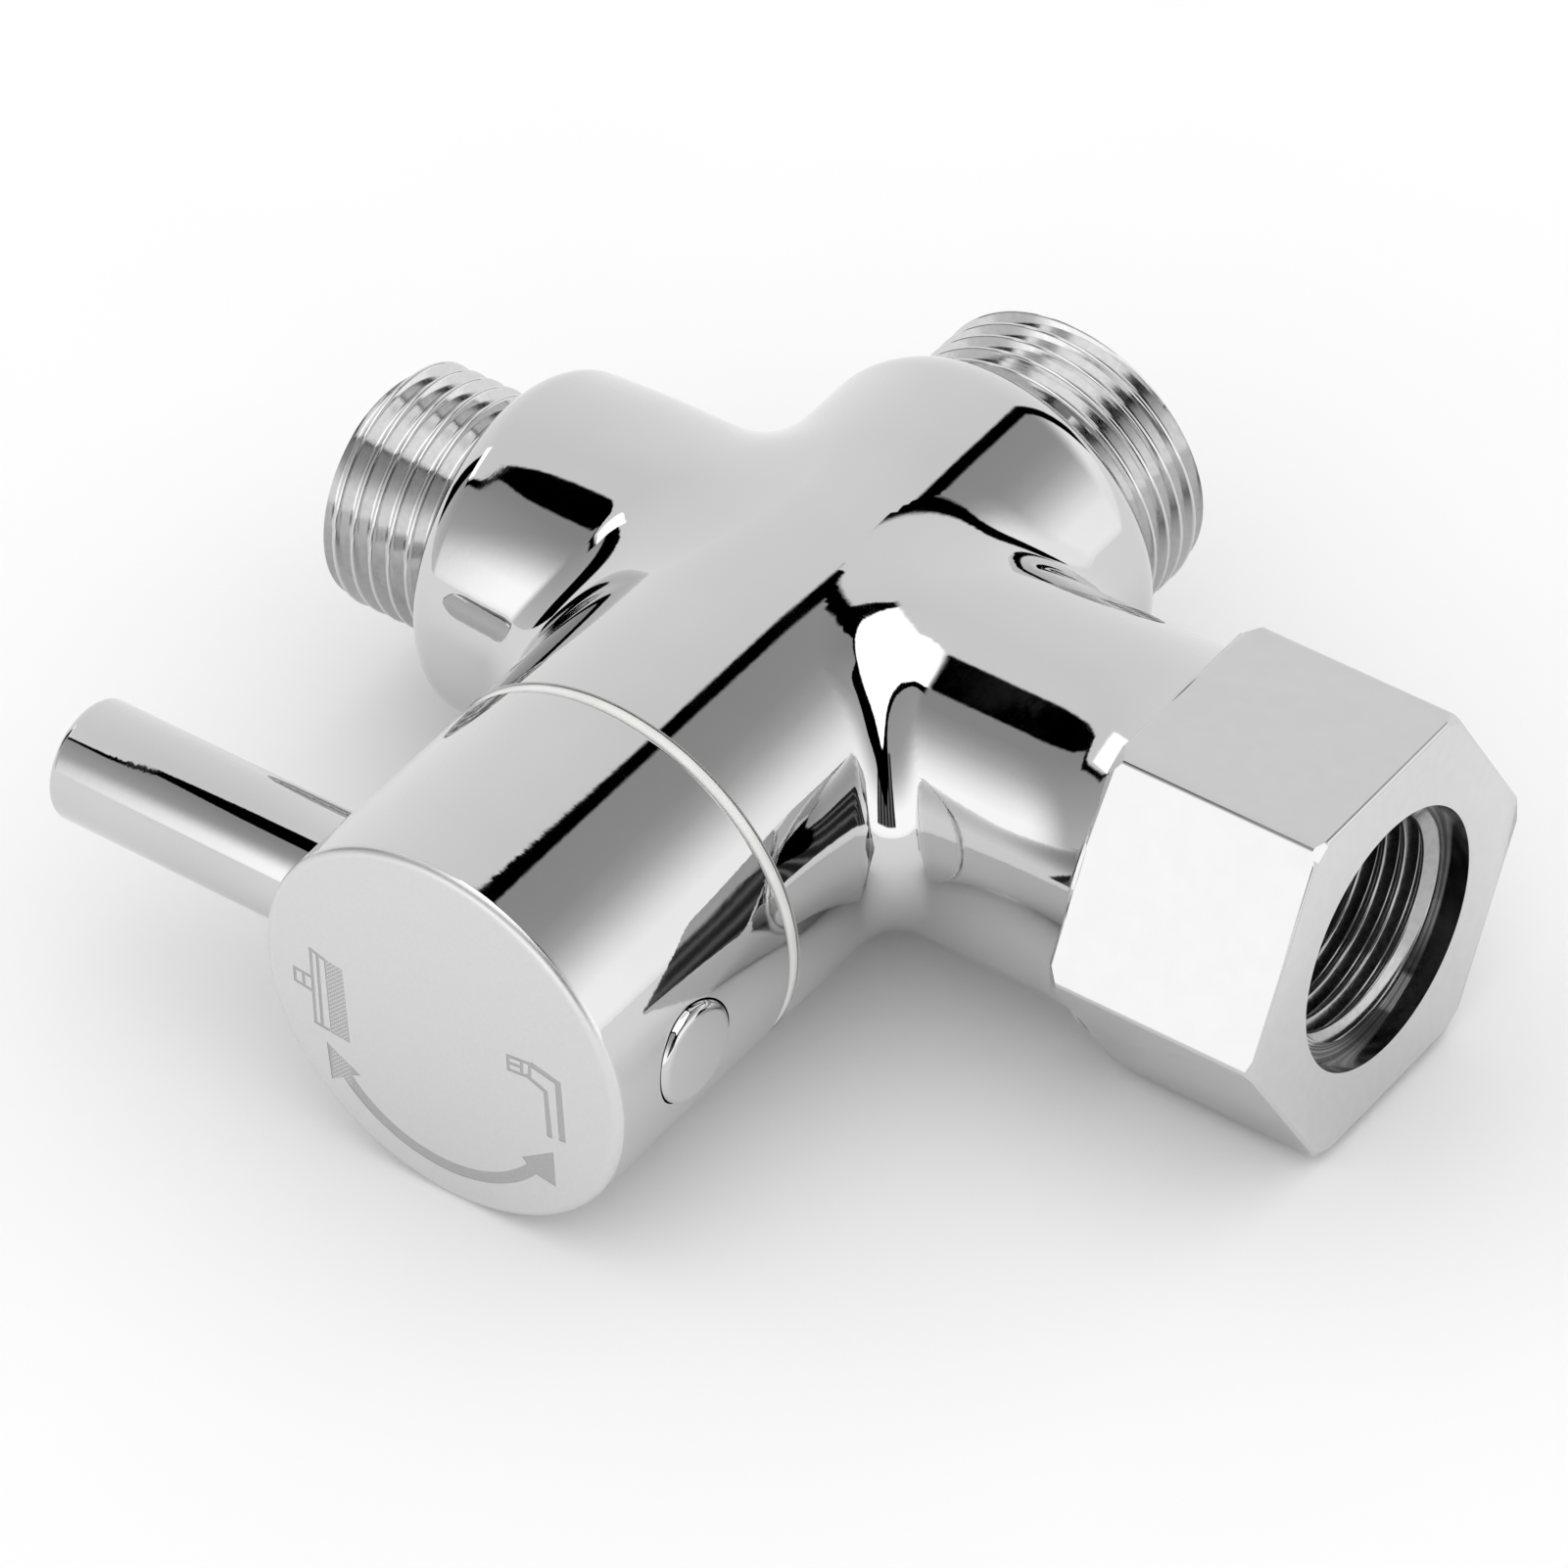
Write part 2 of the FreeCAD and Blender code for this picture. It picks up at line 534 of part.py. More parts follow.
def moving_disc():
    """The ceramic disc that turns, open over the port that leads to the rear."""
    disc = cylinder_y(MOVING_DISC_RADIUS, MOVING_DISC_TOP_Y, FIXED_DISC_TOP_Y)
    disc = disc.cut(half_moon(1, PORT_RADIUS, PORT_BRIDGE, MOVING_DISC_TOP_Y, FIXED_DISC_TOP_Y))
    width = TANG_WIDTH + 2 * TANG_CLEARANCE
    floor = DRIVER_RADIUS - TANG_DEPTH - TANG_CLEARANCE
    return disc.cut(rim_blocks(width, floor, HOUSING_BORE_RADIUS, MOVING_DISC_TOP_Y, FIXED_DISC_TOP_Y))


def disc_driver():
    """The plastic carrier that turns the moving disc, cut away where the water enters."""
    driver = cylinder_y(DRIVER_RADIUS, DRIVER_TOP_Y, MOVING_DISC_TOP_Y)
    height = (-DRIVER_CUT_HALF_HEIGHT, DRIVER_CUT_HALF_HEIGHT)
    relief_y = MOVING_DISC_TOP_Y - DRIVER_RELIEF_DEPTH
    mouth = block((DRIVER_CUT_X, HOUSING_BORE_RADIUS), (DRIVER_TOP_Y, MOVING_DISC_TOP_Y), height)
    relief = block((PORT_BRIDGE, HOUSING_BORE_RADIUS), (relief_y, MOVING_DISC_TOP_Y), height)
    half_side = SQUARE_SIDE / 2 + SQUARE_CLEARANCE
    socket_end_y = FLANGE_BOTTOM_Y + SQUARE_LENGTH + SQUARE_CLEARANCE
    socket = block((-half_side, half_side), (DRIVER_TOP_Y, socket_end_y), (-half_side, half_side))
    driver = driver.cut([mouth, relief, socket])
    tang_end_y = MOVING_DISC_TOP_Y + TANG_LENGTH
    rim = cylinder_y(DRIVER_RADIUS, MOVING_DISC_TOP_Y, tang_end_y)
    tang_floor = DRIVER_RADIUS - TANG_DEPTH
    for tang in rim_blocks(TANG_WIDTH, tang_floor, DRIVER_RADIUS, MOVING_DISC_TOP_Y, tang_end_y):
        driver = driver.fuse(tang.common(rim))
    return driver.removeSplitter()


def locating_pins():
    """Two small steel pins that keep the cartridge from turning in the body."""
    pins = []
    for side in (1, -1):
        pins.append(cylinder_y(PIN_RADIUS, PIN_FRONT_Y, PIN_BACK_Y, 0, side * HOUSING_MIDDLE_RADIUS))
    return Part.makeCompound(pins)


def spline_bar(clearance, y_from, y_to):
    """A bar with fine triangular teeth, grown by a clearance for the hole that fits it."""
    points = []
    for index in range(2 * SPLINE_TEETH + 1):
        radius = SPLINE_TIP_RADIUS if index % 2 == 0 else SPLINE_ROOT_RADIUS
        angle = math.pi * index / SPLINE_TEETH
        reach = radius + clearance
        points.append(Vector(reach * math.cos(angle), y_from, reach * math.sin(angle)))
    return Part.Face(Part.makePolygon(points)).extrude(Vector(0, y_to - y_from, 0))


def turned_groove(outer, inner, y_from, y_to):
    """The ring that is turned away between two radii."""
    return cylinder_y(outer + OVERRUN, y_from, y_to).cut(cylinder_y(inner, y_from, y_to))


def oring_groove(surface, bore, cord, y):
    """The groove in a turned surface for an O-ring of this cord, which seals against this bore."""
    half = cord + 2 * ORING_CLEARANCE
    floor = bore - 2 * cord - 2 * ORING_CLEARANCE
    return turned_groove(surface, floor, y - half, y + half)


def spindle():
    """The brass spindle: square, stop flange, two O-ring grooves, clip groove and splines."""
    half_side = SQUARE_SIDE / 2
    across = (-half_side, half_side)
    square = block(across, (FLANGE_TOP_Y, FLANGE_BOTTOM_Y + SQUARE_LENGTH), across)
    flange = cylinder_y(FLANGE_RADIUS, FLANGE_TOP_Y, FLANGE_BOTTOM_Y)
    lug_radius = HOUSING_BORE_RADIUS - STOP_GAP
    lug = sector_y(FLANGE_RADIUS - OVERRUN, lug_radius, FLANGE_TOP_Y, FLANGE_BOTTOM_Y, 180, STOP_LUG_DEG)
    shaft = cylinder_y(SPINDLE_RADIUS, SPLINE_START_Y, FLANGE_TOP_Y)
    teeth = spline_bar(0.0, SPINDLE_END_Y, SPLINE_START_Y)
    shape = shaft.fuse([square, flange, lug, teeth]).removeSplitter()
    grooves = []
    for y in (FRONT_ORING_Y, REAR_ORING_Y):
        grooves.append(oring_groove(SPINDLE_RADIUS, HOUSING_THROAT_RADIUS, SPINDLE_ORING_CORD, y))
    half_play = CLIP_CLEARANCE / 2
    grooves.append(
        turned_groove(SPINDLE_RADIUS, CLIP_GROOVE_RADIUS, CLIP_TOP_Y - half_play, CLIP_BOTTOM_Y + half_play)
    )
    seat_y = (LEVER_LINE_Y - SCREW_GROOVE_HALF_WIDTH, LEVER_LINE_Y + SCREW_GROOVE_HALF_WIDTH)
    grooves.append(turned_groove(SPLINE_TIP_RADIUS, SCREW_SEAT_RADIUS, seat_y[0], seat_y[1]))
    return shape.cut(grooves)


def spindle_oring(y):
    """One of the two O-rings on the spindle."""
    centre = HOUSING_THROAT_RADIUS - ORING_CLEARANCE - SPINDLE_ORING_CORD
    return o_ring(centre, SPINDLE_ORING_CORD, y)


def circlip():
    """The open ring that keeps the spindle in the housing's neck."""
    inner = CLIP_GROOVE_RADIUS + CLIP_CLEARANCE
    return sector_y(inner, CLIP_RADIUS, CLIP_TOP_Y, CLIP_BOTTOM_Y, 180, 360 - CLIP_GAP_DEG)


def thrust_washer():
    """The plastic washer between the spindle's flange and the housing's shoulder."""
    ring = cylinder_y(THRUST_WASHER_RADIUS, HOUSING_SHOULDER_Y, FLANGE_TOP_Y)
    return ring.cut(cylinder_y(HOUSING_THROAT_RADIUS, HOUSING_SHOULDER_Y, FLANGE_TOP_Y))


def housing_oring():
    """The O-ring between the cartridge and the body."""
    centre = CHAMBER_RADIUS - ORING_CLEARANCE - HOUSING_ORING_CORD
    return o_ring(centre, HOUSING_ORING_CORD, HOUSING_ORING_Y)


def cartridge_housing():
    """The brass housing that holds the discs, with side windows, a stop rib and a neck."""
    shell = cylinder_y(HOUSING_RADIUS, GLAND_SHOULDER_Y, HOUSING_FOOT_Y)
    flange = cylinder_y(HOUSING_FLANGE_RADIUS, HOUSING_FLANGE_TOP_Y, GLAND_SHOULDER_Y)
    neck = cylinder_y(HOUSING_NECK_RADIUS, NECK_END_Y, HOUSING_FLANGE_TOP_Y)
    housing = shell.fuse([flange, neck])
    windows = block(
        (-CHAMBER_RADIUS, CHAMBER_RADIUS),
        (DRIVER_TOP_Y + WINDOW_MARGIN, MOVING_DISC_TOP_Y - WINDOW_MARGIN),
        (-WINDOW_HALF_HEIGHT, WINDOW_HALF_HEIGHT),
    )
    hollows = [
        cylinder_y(HOUSING_BORE_RADIUS, HOUSING_SHOULDER_Y, HOUSING_FOOT_Y),
        cylinder_y(HOUSING_THROAT_RADIUS, NECK_END_Y, HOUSING_SHOULDER_Y),
        oring_groove(HOUSING_RADIUS, CHAMBER_RADIUS, HOUSING_ORING_CORD, HOUSING_ORING_Y),
        windows,
    ]
    housing = housing.cut(hollows + pin_holes(PIN_FRONT_Y, HOUSING_FOOT_Y))
    lug_floor = HOUSING_BORE_RADIUS - LUG_DEPTH
    lugs = rim_blocks(LUG_WIDTH, lug_floor, HOUSING_MIDDLE_RADIUS, FIXED_DISC_TOP_Y, SEAL_TOP_Y)
    rib_width = 360 - TRAVEL_DEG - STOP_LUG_DEG - 2 * STOP_SLACK_DEG
    rib_inner = FLANGE_RADIUS + STOP_GAP
    rib = sector_y(rib_inner, HOUSING_MIDDLE_RADIUS, HOUSING_SHOULDER_Y, FLANGE_BOTTOM_Y, 90, rib_width)
    washer_room = cylinder_y(THRUST_WASHER_RADIUS + THRUST_WASHER_FIT, HOUSING_SHOULDER_Y, FLANGE_TOP_Y)
    return housing.fuse(lugs + [rib.cut(washer_room)]).removeSplitter()


def gland_nut():
    """The brass nut that clamps the cartridge in the body."""
    thread_radius = GLAND_THREAD_RADIUS - GLAND_NUT_CLEARANCE
    head_end = BARREL_FRONT_Y - GLAND_NUT_HEAD_LENGTH
    nut = cylinder_y(thread_radius, BARREL_FRONT_Y, HOUSING_FLANGE_TOP_Y)
    head = hexagon_bar(GLAND_NUT_ACROSS_FLATS, Vector(0, head_end, 0), ALONG_Y, GLAND_NUT_HEAD_LENGTH)
    bore = cylinder_y(HOUSING_NECK_RADIUS + GLAND_NUT_BORE_CLEARANCE, head_end, HOUSING_FLANGE_TOP_Y)
    return nut.fuse(head).cut(bore)


def glide_ring():
    """The white plastic ring on which the knob turns, with a lip that centres it in the body."""
    lip_end_y = BARREL_FRONT_Y + RING_RECESS_DEPTH - RING_CLEARANCE
    ring = cylinder_y(RING_RADIUS, RING_FRONT_Y, BARREL_FRONT_Y)
    ring = ring.cut(cylinder_y(RING_BORE_RADIUS, RING_FRONT_Y, BARREL_FRONT_Y))
    lip = cylinder_y(RING_LIP_RADIUS, RING_FRONT_Y, lip_end_y)
    lip = lip.cut(cylinder_y(RING_LIP_RADIUS - RING_LIP_WALL, RING_FRONT_Y, lip_end_y))
    return ring.fuse(lip).removeSplitter()


def rim_circle(y, radius):
    """A test for a circle about Y."""

    def test(middle):
        off_axis = math.hypot(middle.x, middle.z)
        return abs(middle.y - y) < ON_CIRCLE and abs(off_axis - radius) < ON_CIRCLE

    return test


def knob():
    """The knob: a cored cylinder with a splined hub and two ribs that take the lever and the screw."""
    outer = cylinder_y(KNOB_RADIUS, KNOB_FACE_Y, KNOB_REAR_Y)
    outer = outer.makeFillet(KNOB_EDGE_RADIUS, edges_near(outer, rim_circle(KNOB_FACE_Y, KNOB_RADIUS)))
    outer = outer.makeFillet(KNOB_REAR_EDGE, edges_near(outer, rim_circle(KNOB_REAR_Y, KNOB_RADIUS)))
    cored = (KNOB_INNER_FACE_Y, KNOB_HUB_REAR_Y)
    core = cylinder_y(KNOB_POCKET_RADIUS, cored[0], cored[1])
    core = core.cut(cylinder_y(KNOB_HUB_RADIUS, cored[0], cored[1]))
    core = core.cut(block((-KNOB_RADIUS, KNOB_RADIUS), cored, (-KNOB_RIB_HALF_WIDTH, KNOB_RIB_HALF_WIDTH)))
    past_side = KNOB_RADIUS + OVERRUN
    stud_hole_end_x = LEVER_STUD_END_X + LEVER_HOLE_SPARE
    return outer.cut([
        core,
        cylinder_y(KNOB_POCKET_RADIUS, KNOB_HUB_REAR_Y, KNOB_REAR_Y),
        spline_bar(SPLINE_CLEARANCE, SPINDLE_END_Y - SPLINE_FLOOR_GAP, KNOB_HUB_REAR_Y),
        cylinder_x(LEVER_RADIUS + LEVER_CLEARANCE, -past_side, LEVER_SEAT_X, LEVER_LINE_Y),
        cylinder_x(LEVER_STUD_RADIUS + STUD_CLEARANCE, LEVER_SEAT_X, stud_hole_end_x, LEVER_LINE_Y),
        cylinder_x(SCREW_RADIUS + STUD_CLEARANCE, 0, SCREW_HOLE_END_X, LEVER_LINE_Y),
        cylinder_x(BUTTON_STEM_RADIUS + BUTTON_CLEARANCE, SCREW_HOLE_END_X, BUTTON_SEAT_X, LEVER_LINE_Y),
        cylinder_x(BUTTON_RADIUS + BUTTON_CLEARANCE, BUTTON_SEAT_X, past_side, LEVER_LINE_Y),
    ])


def line_circle(x, radius):
    """A test for a circle about the line of the lever."""

    def test(middle):
        off_axis = math.hypot(middle.y - LEVER_LINE_Y, middle.z)
        return abs(middle.x - x) < ON_CIRCLE and abs(off_axis - radius) < ON_CIRCLE

    return test


def lever_rod():
    """The round lever, with the stud that screws into the knob."""
    rod = cylinder_x(LEVER_RADIUS, LEVER_TIP_X, LEVER_SEAT_X, LEVER_LINE_Y)
    rod = rod.makeFillet(LEVER_EDGE_RADIUS, edges_near(rod, line_circle(LEVER_TIP_X, LEVER_RADIUS)))
    stud = cylinder_x(LEVER_STUD_RADIUS, LEVER_SEAT_X, LEVER_STUD_END_X, LEVER_LINE_Y)
    return rod.fuse(stud)


def set_screw():
    """The grub screw that holds the knob on the spindle."""
    end_x = SCREW_SEAT_RADIUS + SCREW_LENGTH
    screw = cylinder_x(SCREW_RADIUS, SCREW_SEAT_RADIUS, end_x, LEVER_LINE_Y)
    socket_start = Vector(end_x - SOCKET_DEPTH, LEVER_LINE_Y, 0)
    return screw.cut(hexagon_bar(SOCKET_ACROSS_FLATS, socket_start, ALONG_X, SOCKET_DEPTH))


def plug_button():
    """The chromed plug that covers the set screw."""
    cap = cylinder_x(BUTTON_RADIUS, BUTTON_SEAT_X, BUTTON_FACE_X, LEVER_LINE_Y)
    cap = cap.makeFillet(BUTTON_EDGE_RADIUS, edges_near(cap, line_circle(BUTTON_FACE_X, BUTTON_RADIUS)))
    stem = cylinder_x(BUTTON_STEM_RADIUS, BUTTON_STEM_END_X, BUTTON_SEAT_X, LEVER_LINE_Y)
    return cap.fuse(stem)


PIECES = {
    "valve_body": valve_body,
    "inlet_washer": inlet_washer,
    "seat_seal": seat_seal,
    "fixed_disc": fixed_disc,
    "moving_disc": moving_disc,
    "disc_driver": disc_driver,
    "locating_pins": locating_pins,
    "spindle": spindle,
    "spindle_oring_front": lambda: spindle_oring(FRONT_ORING_Y),
    "spindle_oring_rear": lambda: spindle_oring(REAR_ORING_Y),
    "circlip": circlip,
    "thrust_washer": thrust_washer,
    "cartridge_housing": cartridge_housing,
    "housing_oring": housing_oring,
    "gland_nut": gland_nut,
    "glide_ring": glide_ring,
    "knob": knob,
    "lever_rod": lever_rod,
    "set_screw": set_screw,
    "plug_button": plug_button,
}

os.makedirs("parts", exist_ok=True)
for name, make in PIECES.items():
    shape = make()
    shape.translate(TO_INLET)
    state = "sound" if shape.isValid() else "FAULTY"
    print(f"{name}: {len(shape.Solids)} solid, {shape.Volume:.1f} mm3, {state}")
    shape.exportStep(os.path.join("parts", name + ".step"))
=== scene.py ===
# %% [markdown]
# # A shower diverter valve in chrome
#
# The CAD model gives the sizes, the places and what turns. This file gives the looks. The cast body,
# the knob, its lever, its plug and the white ring are modelled again, finer than the CAD meshes,
# because a polished surface shows every fault of its mesh. The pieces inside keep their CAD meshes.

# %% Load the frame
import json
import math

import bpy
import numpy as np
from mathutils import Matrix
from mathutils import Vector

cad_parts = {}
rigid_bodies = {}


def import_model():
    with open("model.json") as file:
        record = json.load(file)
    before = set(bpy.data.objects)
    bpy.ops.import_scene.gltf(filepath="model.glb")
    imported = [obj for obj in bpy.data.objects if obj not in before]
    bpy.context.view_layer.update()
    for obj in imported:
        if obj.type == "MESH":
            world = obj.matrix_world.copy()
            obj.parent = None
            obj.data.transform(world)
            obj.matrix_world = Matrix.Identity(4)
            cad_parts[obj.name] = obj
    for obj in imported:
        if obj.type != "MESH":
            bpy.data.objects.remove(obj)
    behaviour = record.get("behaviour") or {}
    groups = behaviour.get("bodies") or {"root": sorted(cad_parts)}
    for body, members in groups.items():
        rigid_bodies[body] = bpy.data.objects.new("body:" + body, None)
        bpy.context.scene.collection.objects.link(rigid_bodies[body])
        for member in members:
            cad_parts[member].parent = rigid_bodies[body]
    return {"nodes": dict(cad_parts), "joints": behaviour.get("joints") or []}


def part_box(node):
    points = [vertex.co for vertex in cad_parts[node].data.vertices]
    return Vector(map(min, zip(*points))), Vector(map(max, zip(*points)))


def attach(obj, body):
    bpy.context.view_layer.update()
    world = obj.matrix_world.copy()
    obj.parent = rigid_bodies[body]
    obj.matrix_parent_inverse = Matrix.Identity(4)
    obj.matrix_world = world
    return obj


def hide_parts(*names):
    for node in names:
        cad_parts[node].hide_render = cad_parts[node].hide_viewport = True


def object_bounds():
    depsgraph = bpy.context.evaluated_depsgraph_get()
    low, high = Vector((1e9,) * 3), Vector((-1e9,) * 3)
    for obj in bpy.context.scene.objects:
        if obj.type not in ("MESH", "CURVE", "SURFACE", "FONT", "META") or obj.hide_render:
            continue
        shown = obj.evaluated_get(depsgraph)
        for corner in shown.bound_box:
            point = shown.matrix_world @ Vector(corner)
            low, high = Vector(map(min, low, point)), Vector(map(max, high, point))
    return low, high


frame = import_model()
cad_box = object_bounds()
mm = 0.001
crossing = Vector(frame["joints"][0]["pos_m"])
print("pieces from the CAD:", len(frame["nodes"]), "the two axes cross at", list(crossing))

# %% [markdown]
# An operator works on whatever is selected, and the import leaves everything selected. These small
# helpers pick what the next operator should touch, as a click would, and leave edit mode again.

# %% Picking, edit mode and selections by place
def deselect():
    bpy.ops.object.select_all(action="DESELECT")


def pick(obj, *more):
    """Selects objects and makes the first one active."""
    deselect()
    for each in (obj, *more):
        each.select_set(True)
    bpy.context.view_layer.objects.active = obj


def edit(obj, kind="FACE"):
    """Enters edit mode on one object, in vertex, edge or face mode."""
    pick(obj)
    modes = ("VERT", "EDGE", "FACE")
    bpy.context.tool_settings.mesh_select_mode = [kind == each for each in modes]
    bpy.ops.object.mode_set(mode="EDIT")


def leave_edit():
    bpy.ops.object.mode_set(mode="OBJECT")


def settle(obj, name):
    """Names a new piece and moves its place into its mesh, so that the object sits at the origin."""
    obj.name = name
    obj.data.name = name
    pick(obj)
    bpy.ops.object.transform_apply(location=True, rotation=True, scale=True)
    return obj


def select_edges(obj, test):
    """Selects the edges whose two ends pass a test on their places, and enters edit mode."""
    mesh = obj.data
    for group in (mesh.vertices, mesh.polygons):
        group.foreach_set("select", [False] * len(group))
    for edge in mesh.edges:
        ends = [mesh.vertices[index].co for index in edge.vertices]
        edge.select = all(test(end) for end in ends)
    edit(obj, "EDGE")


deselect()

# %% [markdown]
# Most of a valve is turned or bored, so most of its pieces start as a round bar. A bar is added at its
# real size between two places, and a rounded end is a bevel of its end circle.

# %% Bars, rounded ends and cuts
SIDES = 192


def bar(name, radius, start, end, sides=SIDES):
    """A round bar between two places."""
    start = Vector(start)
    along = Vector(end) - start
    bpy.ops.mesh.primitive_cylinder_add(
        vertices=sides,
        radius=radius,
        depth=along.length,
        location=start + along / 2,
        rotation=along.to_track_quat("Z", "Y").to_euler(),
    )
    return settle(bpy.context.object, name)


def round_circle(obj, centre, axis, radius, width, segments):
    """Bevels the edge of a bar that lies on a circle."""
    near = 0.02 * mm
    centre, axis = Vector(centre), Vector(axis)

    def on_circle(place):
        off = place - centre
        along = off.dot(axis)
        return abs(along) < near and abs((off - along * axis).length - radius) < near

    select_edges(obj, on_circle)
    bpy.ops.mesh.bevel(offset=width, segments=segments, profile=0.5, affect="EDGES")
    leave_edit()


def combine(obj, tool, operation):
    """Adds a tool to a piece, cuts it out of it or keeps what they share, and uses the tool up."""
    modifier = obj.modifiers.new(operation, "BOOLEAN")
    modifier.operation = operation
    modifier.solver = "MANIFOLD"
    modifier.object = tool
    pick(obj)
    bpy.ops.object.modifier_apply(modifier=modifier.name)
    bpy.data.objects.remove(tool)


def at(x, y, z):
    """A place given from the crossing of the two axes, in millimetres."""
    return crossing + Vector((x, y, z)) * mm


ALONG_X = Vector((1, 0, 0))
ALONG_Y = Vector((0, 1, 0))

# %% [markdown]
# Many forms are simplest as a turned profile: a chain of points is drawn by extruding one vertex from
# place to place, and spun round its axis, as a lathe would show it.

# %% Outlines and turned forms
def outline(name, points):
    """A chain of edges through some points, made by extruding one vertex."""
    bpy.ops.mesh.primitive_plane_add(size=mm, location=points[0])
    obj = settle(bpy.context.object, name)
    edit(obj, "VERT")
    bpy.ops.mesh.select_all(action="SELECT")
    bpy.ops.mesh.merge(type="CENTER")
    for here, there in zip(points, points[1:]):
        bpy.ops.mesh.extrude_vertices_move(TRANSFORM_OT_translate={"value": there - here})
    leave_edit()
    return obj


def tidy_shell(obj, near=0.002 * mm):
    """Merges the seam and the poles of a turned form and turns its faces outwards."""
    edit(obj, "VERT")
    bpy.ops.mesh.select_all(action="SELECT")
    bpy.ops.mesh.remove_doubles(threshold=near)
    bpy.ops.mesh.normals_make_consistent(inside=False)
    leave_edit()


def turned(name, centre, axis, profile, sides=SIDES):
    """A form turned round an axis. Its profile is (place along the axis, radius), in millimetres."""
    centre, axis = Vector(centre), Vector(axis)
    upright = Vector((0, 0, 1))
    points = [centre + (axis * along + upright * radius) * mm for along, radius in profile]
    obj = outline(name, points)
    edit(obj, "VERT")
    bpy.ops.mesh.select_all(action="SELECT")
    bpy.ops.mesh.spin(steps=sides, angle=math.tau, center=centre, axis=axis)
    leave_edit()
    tidy_shell(obj)
    return obj


# %% [markdown]
# ## The casting
#
# Barrel and arms are one brass casting whose crossing is rounded by the mould. Bevelling the seam of
# two crossed cylinders leaves creases that chrome would show. Here the two bars are melted into one
# fine skin by a voxel remesh, and each point of the skin is then laid on the true surface: barrel, arm,
# rounded shoulder, or the path of a ball that rolls along the corner between barrel and arm.

# %% Sizes of the casting
body_low, body_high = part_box("valve_body")
barrel_radius = body_high.z
rear_boss_step = 0.95 * mm
rear_boss_radius = barrel_radius - rear_boss_step
arm_step = 2.05 * mm
arm_radius = barrel_radius - arm_step
barrel_front = body_low.y
rear_boss_end = 25.1 * mm
rear_shoulder = 4.6 * mm
ease_length = 24.0 * mm
left_boss_end = 31.3 * mm
left_shoulder = 2.8 * mm
crown_start = 20.0 * mm
crown_drop = 0.55 * mm
crotch_ball = {-1: 5.0 * mm, 1: 4.0 * mm}
top_ball = 30.0 * mm
hex_back = 34.5 * mm
neck_start = 25.0 * mm
neck_flare = 0.7 * mm
spare = 2.0 * mm
print("barrel radius", barrel_radius, "arm radius", arm_radius)

# %% Barrel and arms as two bars, melted into one skin
VOXEL = 0.45 * mm
barrel_start = crossing + ALONG_Y * (barrel_front - spare)
barrel_end = crossing + ALONG_Y * rear_boss_end
casting = bar("valve_casting", barrel_radius, barrel_start, barrel_end)
round_circle(casting, barrel_end, ALONG_Y, barrel_radius, rear_shoulder, segments=8)
arms_start = crossing - ALONG_X * left_boss_end
arms_end = crossing + ALONG_X * (hex_back + spare)
arms = bar("cast_arms", arm_radius, arms_start, arms_end)
round_circle(arms, arms_start, ALONG_X, arm_radius, left_shoulder, segments=6)
combine(casting, arms, "UNION")
melt = casting.modifiers.new("melt", "REMESH")
melt.mode = "VOXEL"
melt.voxel_size = VOXEL
pick(casting)
bpy.ops.object.modifier_apply(modifier=melt.name)
print("points of the skin:", len(casting.data.vertices))

# %% [markdown]
# The true surface is written as a distance: how far a point lies outside the casting, and in which
# direction. A bar with a rounded end has such a distance in two lines. In the corner between barrel
# and arm, the ball's centre runs where both distances equal the ball's radius.

# %% A bar's true surface
SLOPE_STEP = 0.01 * mm


def unit(vectors):
    lengths = np.linalg.norm(vectors, axis=1, keepdims=True)
    return vectors / np.maximum(lengths, 1e-12)


def rounded_bar(off_axis, radial, past_end, end_direction, radius, rounding):
    """Distance to a bar with a rounded end, and the direction away from it."""
    side = off_axis - (radius - rounding)
    end = past_end + rounding
    side_out = np.maximum(side, 0)
    end_out = np.maximum(end, 0)
    distance = np.hypot(side_out, end_out) + np.minimum(np.maximum(side, end), 0) - rounding
    in_round = (side > 0) & (end > 0)
    along_side = np.where(in_round, side_out, side >= end)
    along_end = np.where(in_round, end_out, side < end)
    direction = radial * along_side[:, None] + np.array(end_direction) * along_end[:, None]
    return distance, unit(direction)


# %% The barrel and the arms
def eased_radius(y):
    """The barrel is a little slimmer behind the crossing than in front of it."""
    share = np.clip(0.5 + y / ease_length, 0, 1)
    return barrel_radius + (rear_boss_radius - barrel_radius) * (1 - np.cos(math.pi * share)) / 2


def barrel_field(points):
    """The barrel, with its rounded shoulder behind."""
    x, y, z = points.T
    off_axis = np.hypot(x, z)
    slope = (eased_radius(y + SLOPE_STEP) - eased_radius(y - SLOPE_STEP)) / (2 * SLOPE_STEP)
    radial = unit(np.stack([x, -slope * off_axis, z], axis=1))
    return rounded_bar(off_axis, radial, y - rear_boss_end, ALONG_Y, eased_radius(y), rear_shoulder)


def arm_shape(x):
    """Radius of the arms: rounded off by the polisher at the left end, flared into the hexagon."""
    crown = np.clip((-x - crown_start) / (left_boss_end - crown_start), 0, 1)
    flare = np.clip((x - neck_start) / (hex_back - neck_start), 0, 1)
    return arm_radius - crown_drop * crown ** 2 + neck_flare * flare ** 3


def arm_field(points):
    """Both arms as one bar, with a rounded shoulder at the left."""
    x, y, z = points.T
    off_axis = np.hypot(y, z)
    slope = (arm_shape(x + SLOPE_STEP) - arm_shape(x - SLOPE_STEP)) / (2 * SLOPE_STEP)
    radial = unit(np.stack([-slope * off_axis, y, z], axis=1))
    return rounded_bar(off_axis, radial, -x - left_boss_end, -ALONG_X, arm_shape(x), left_shoulder)


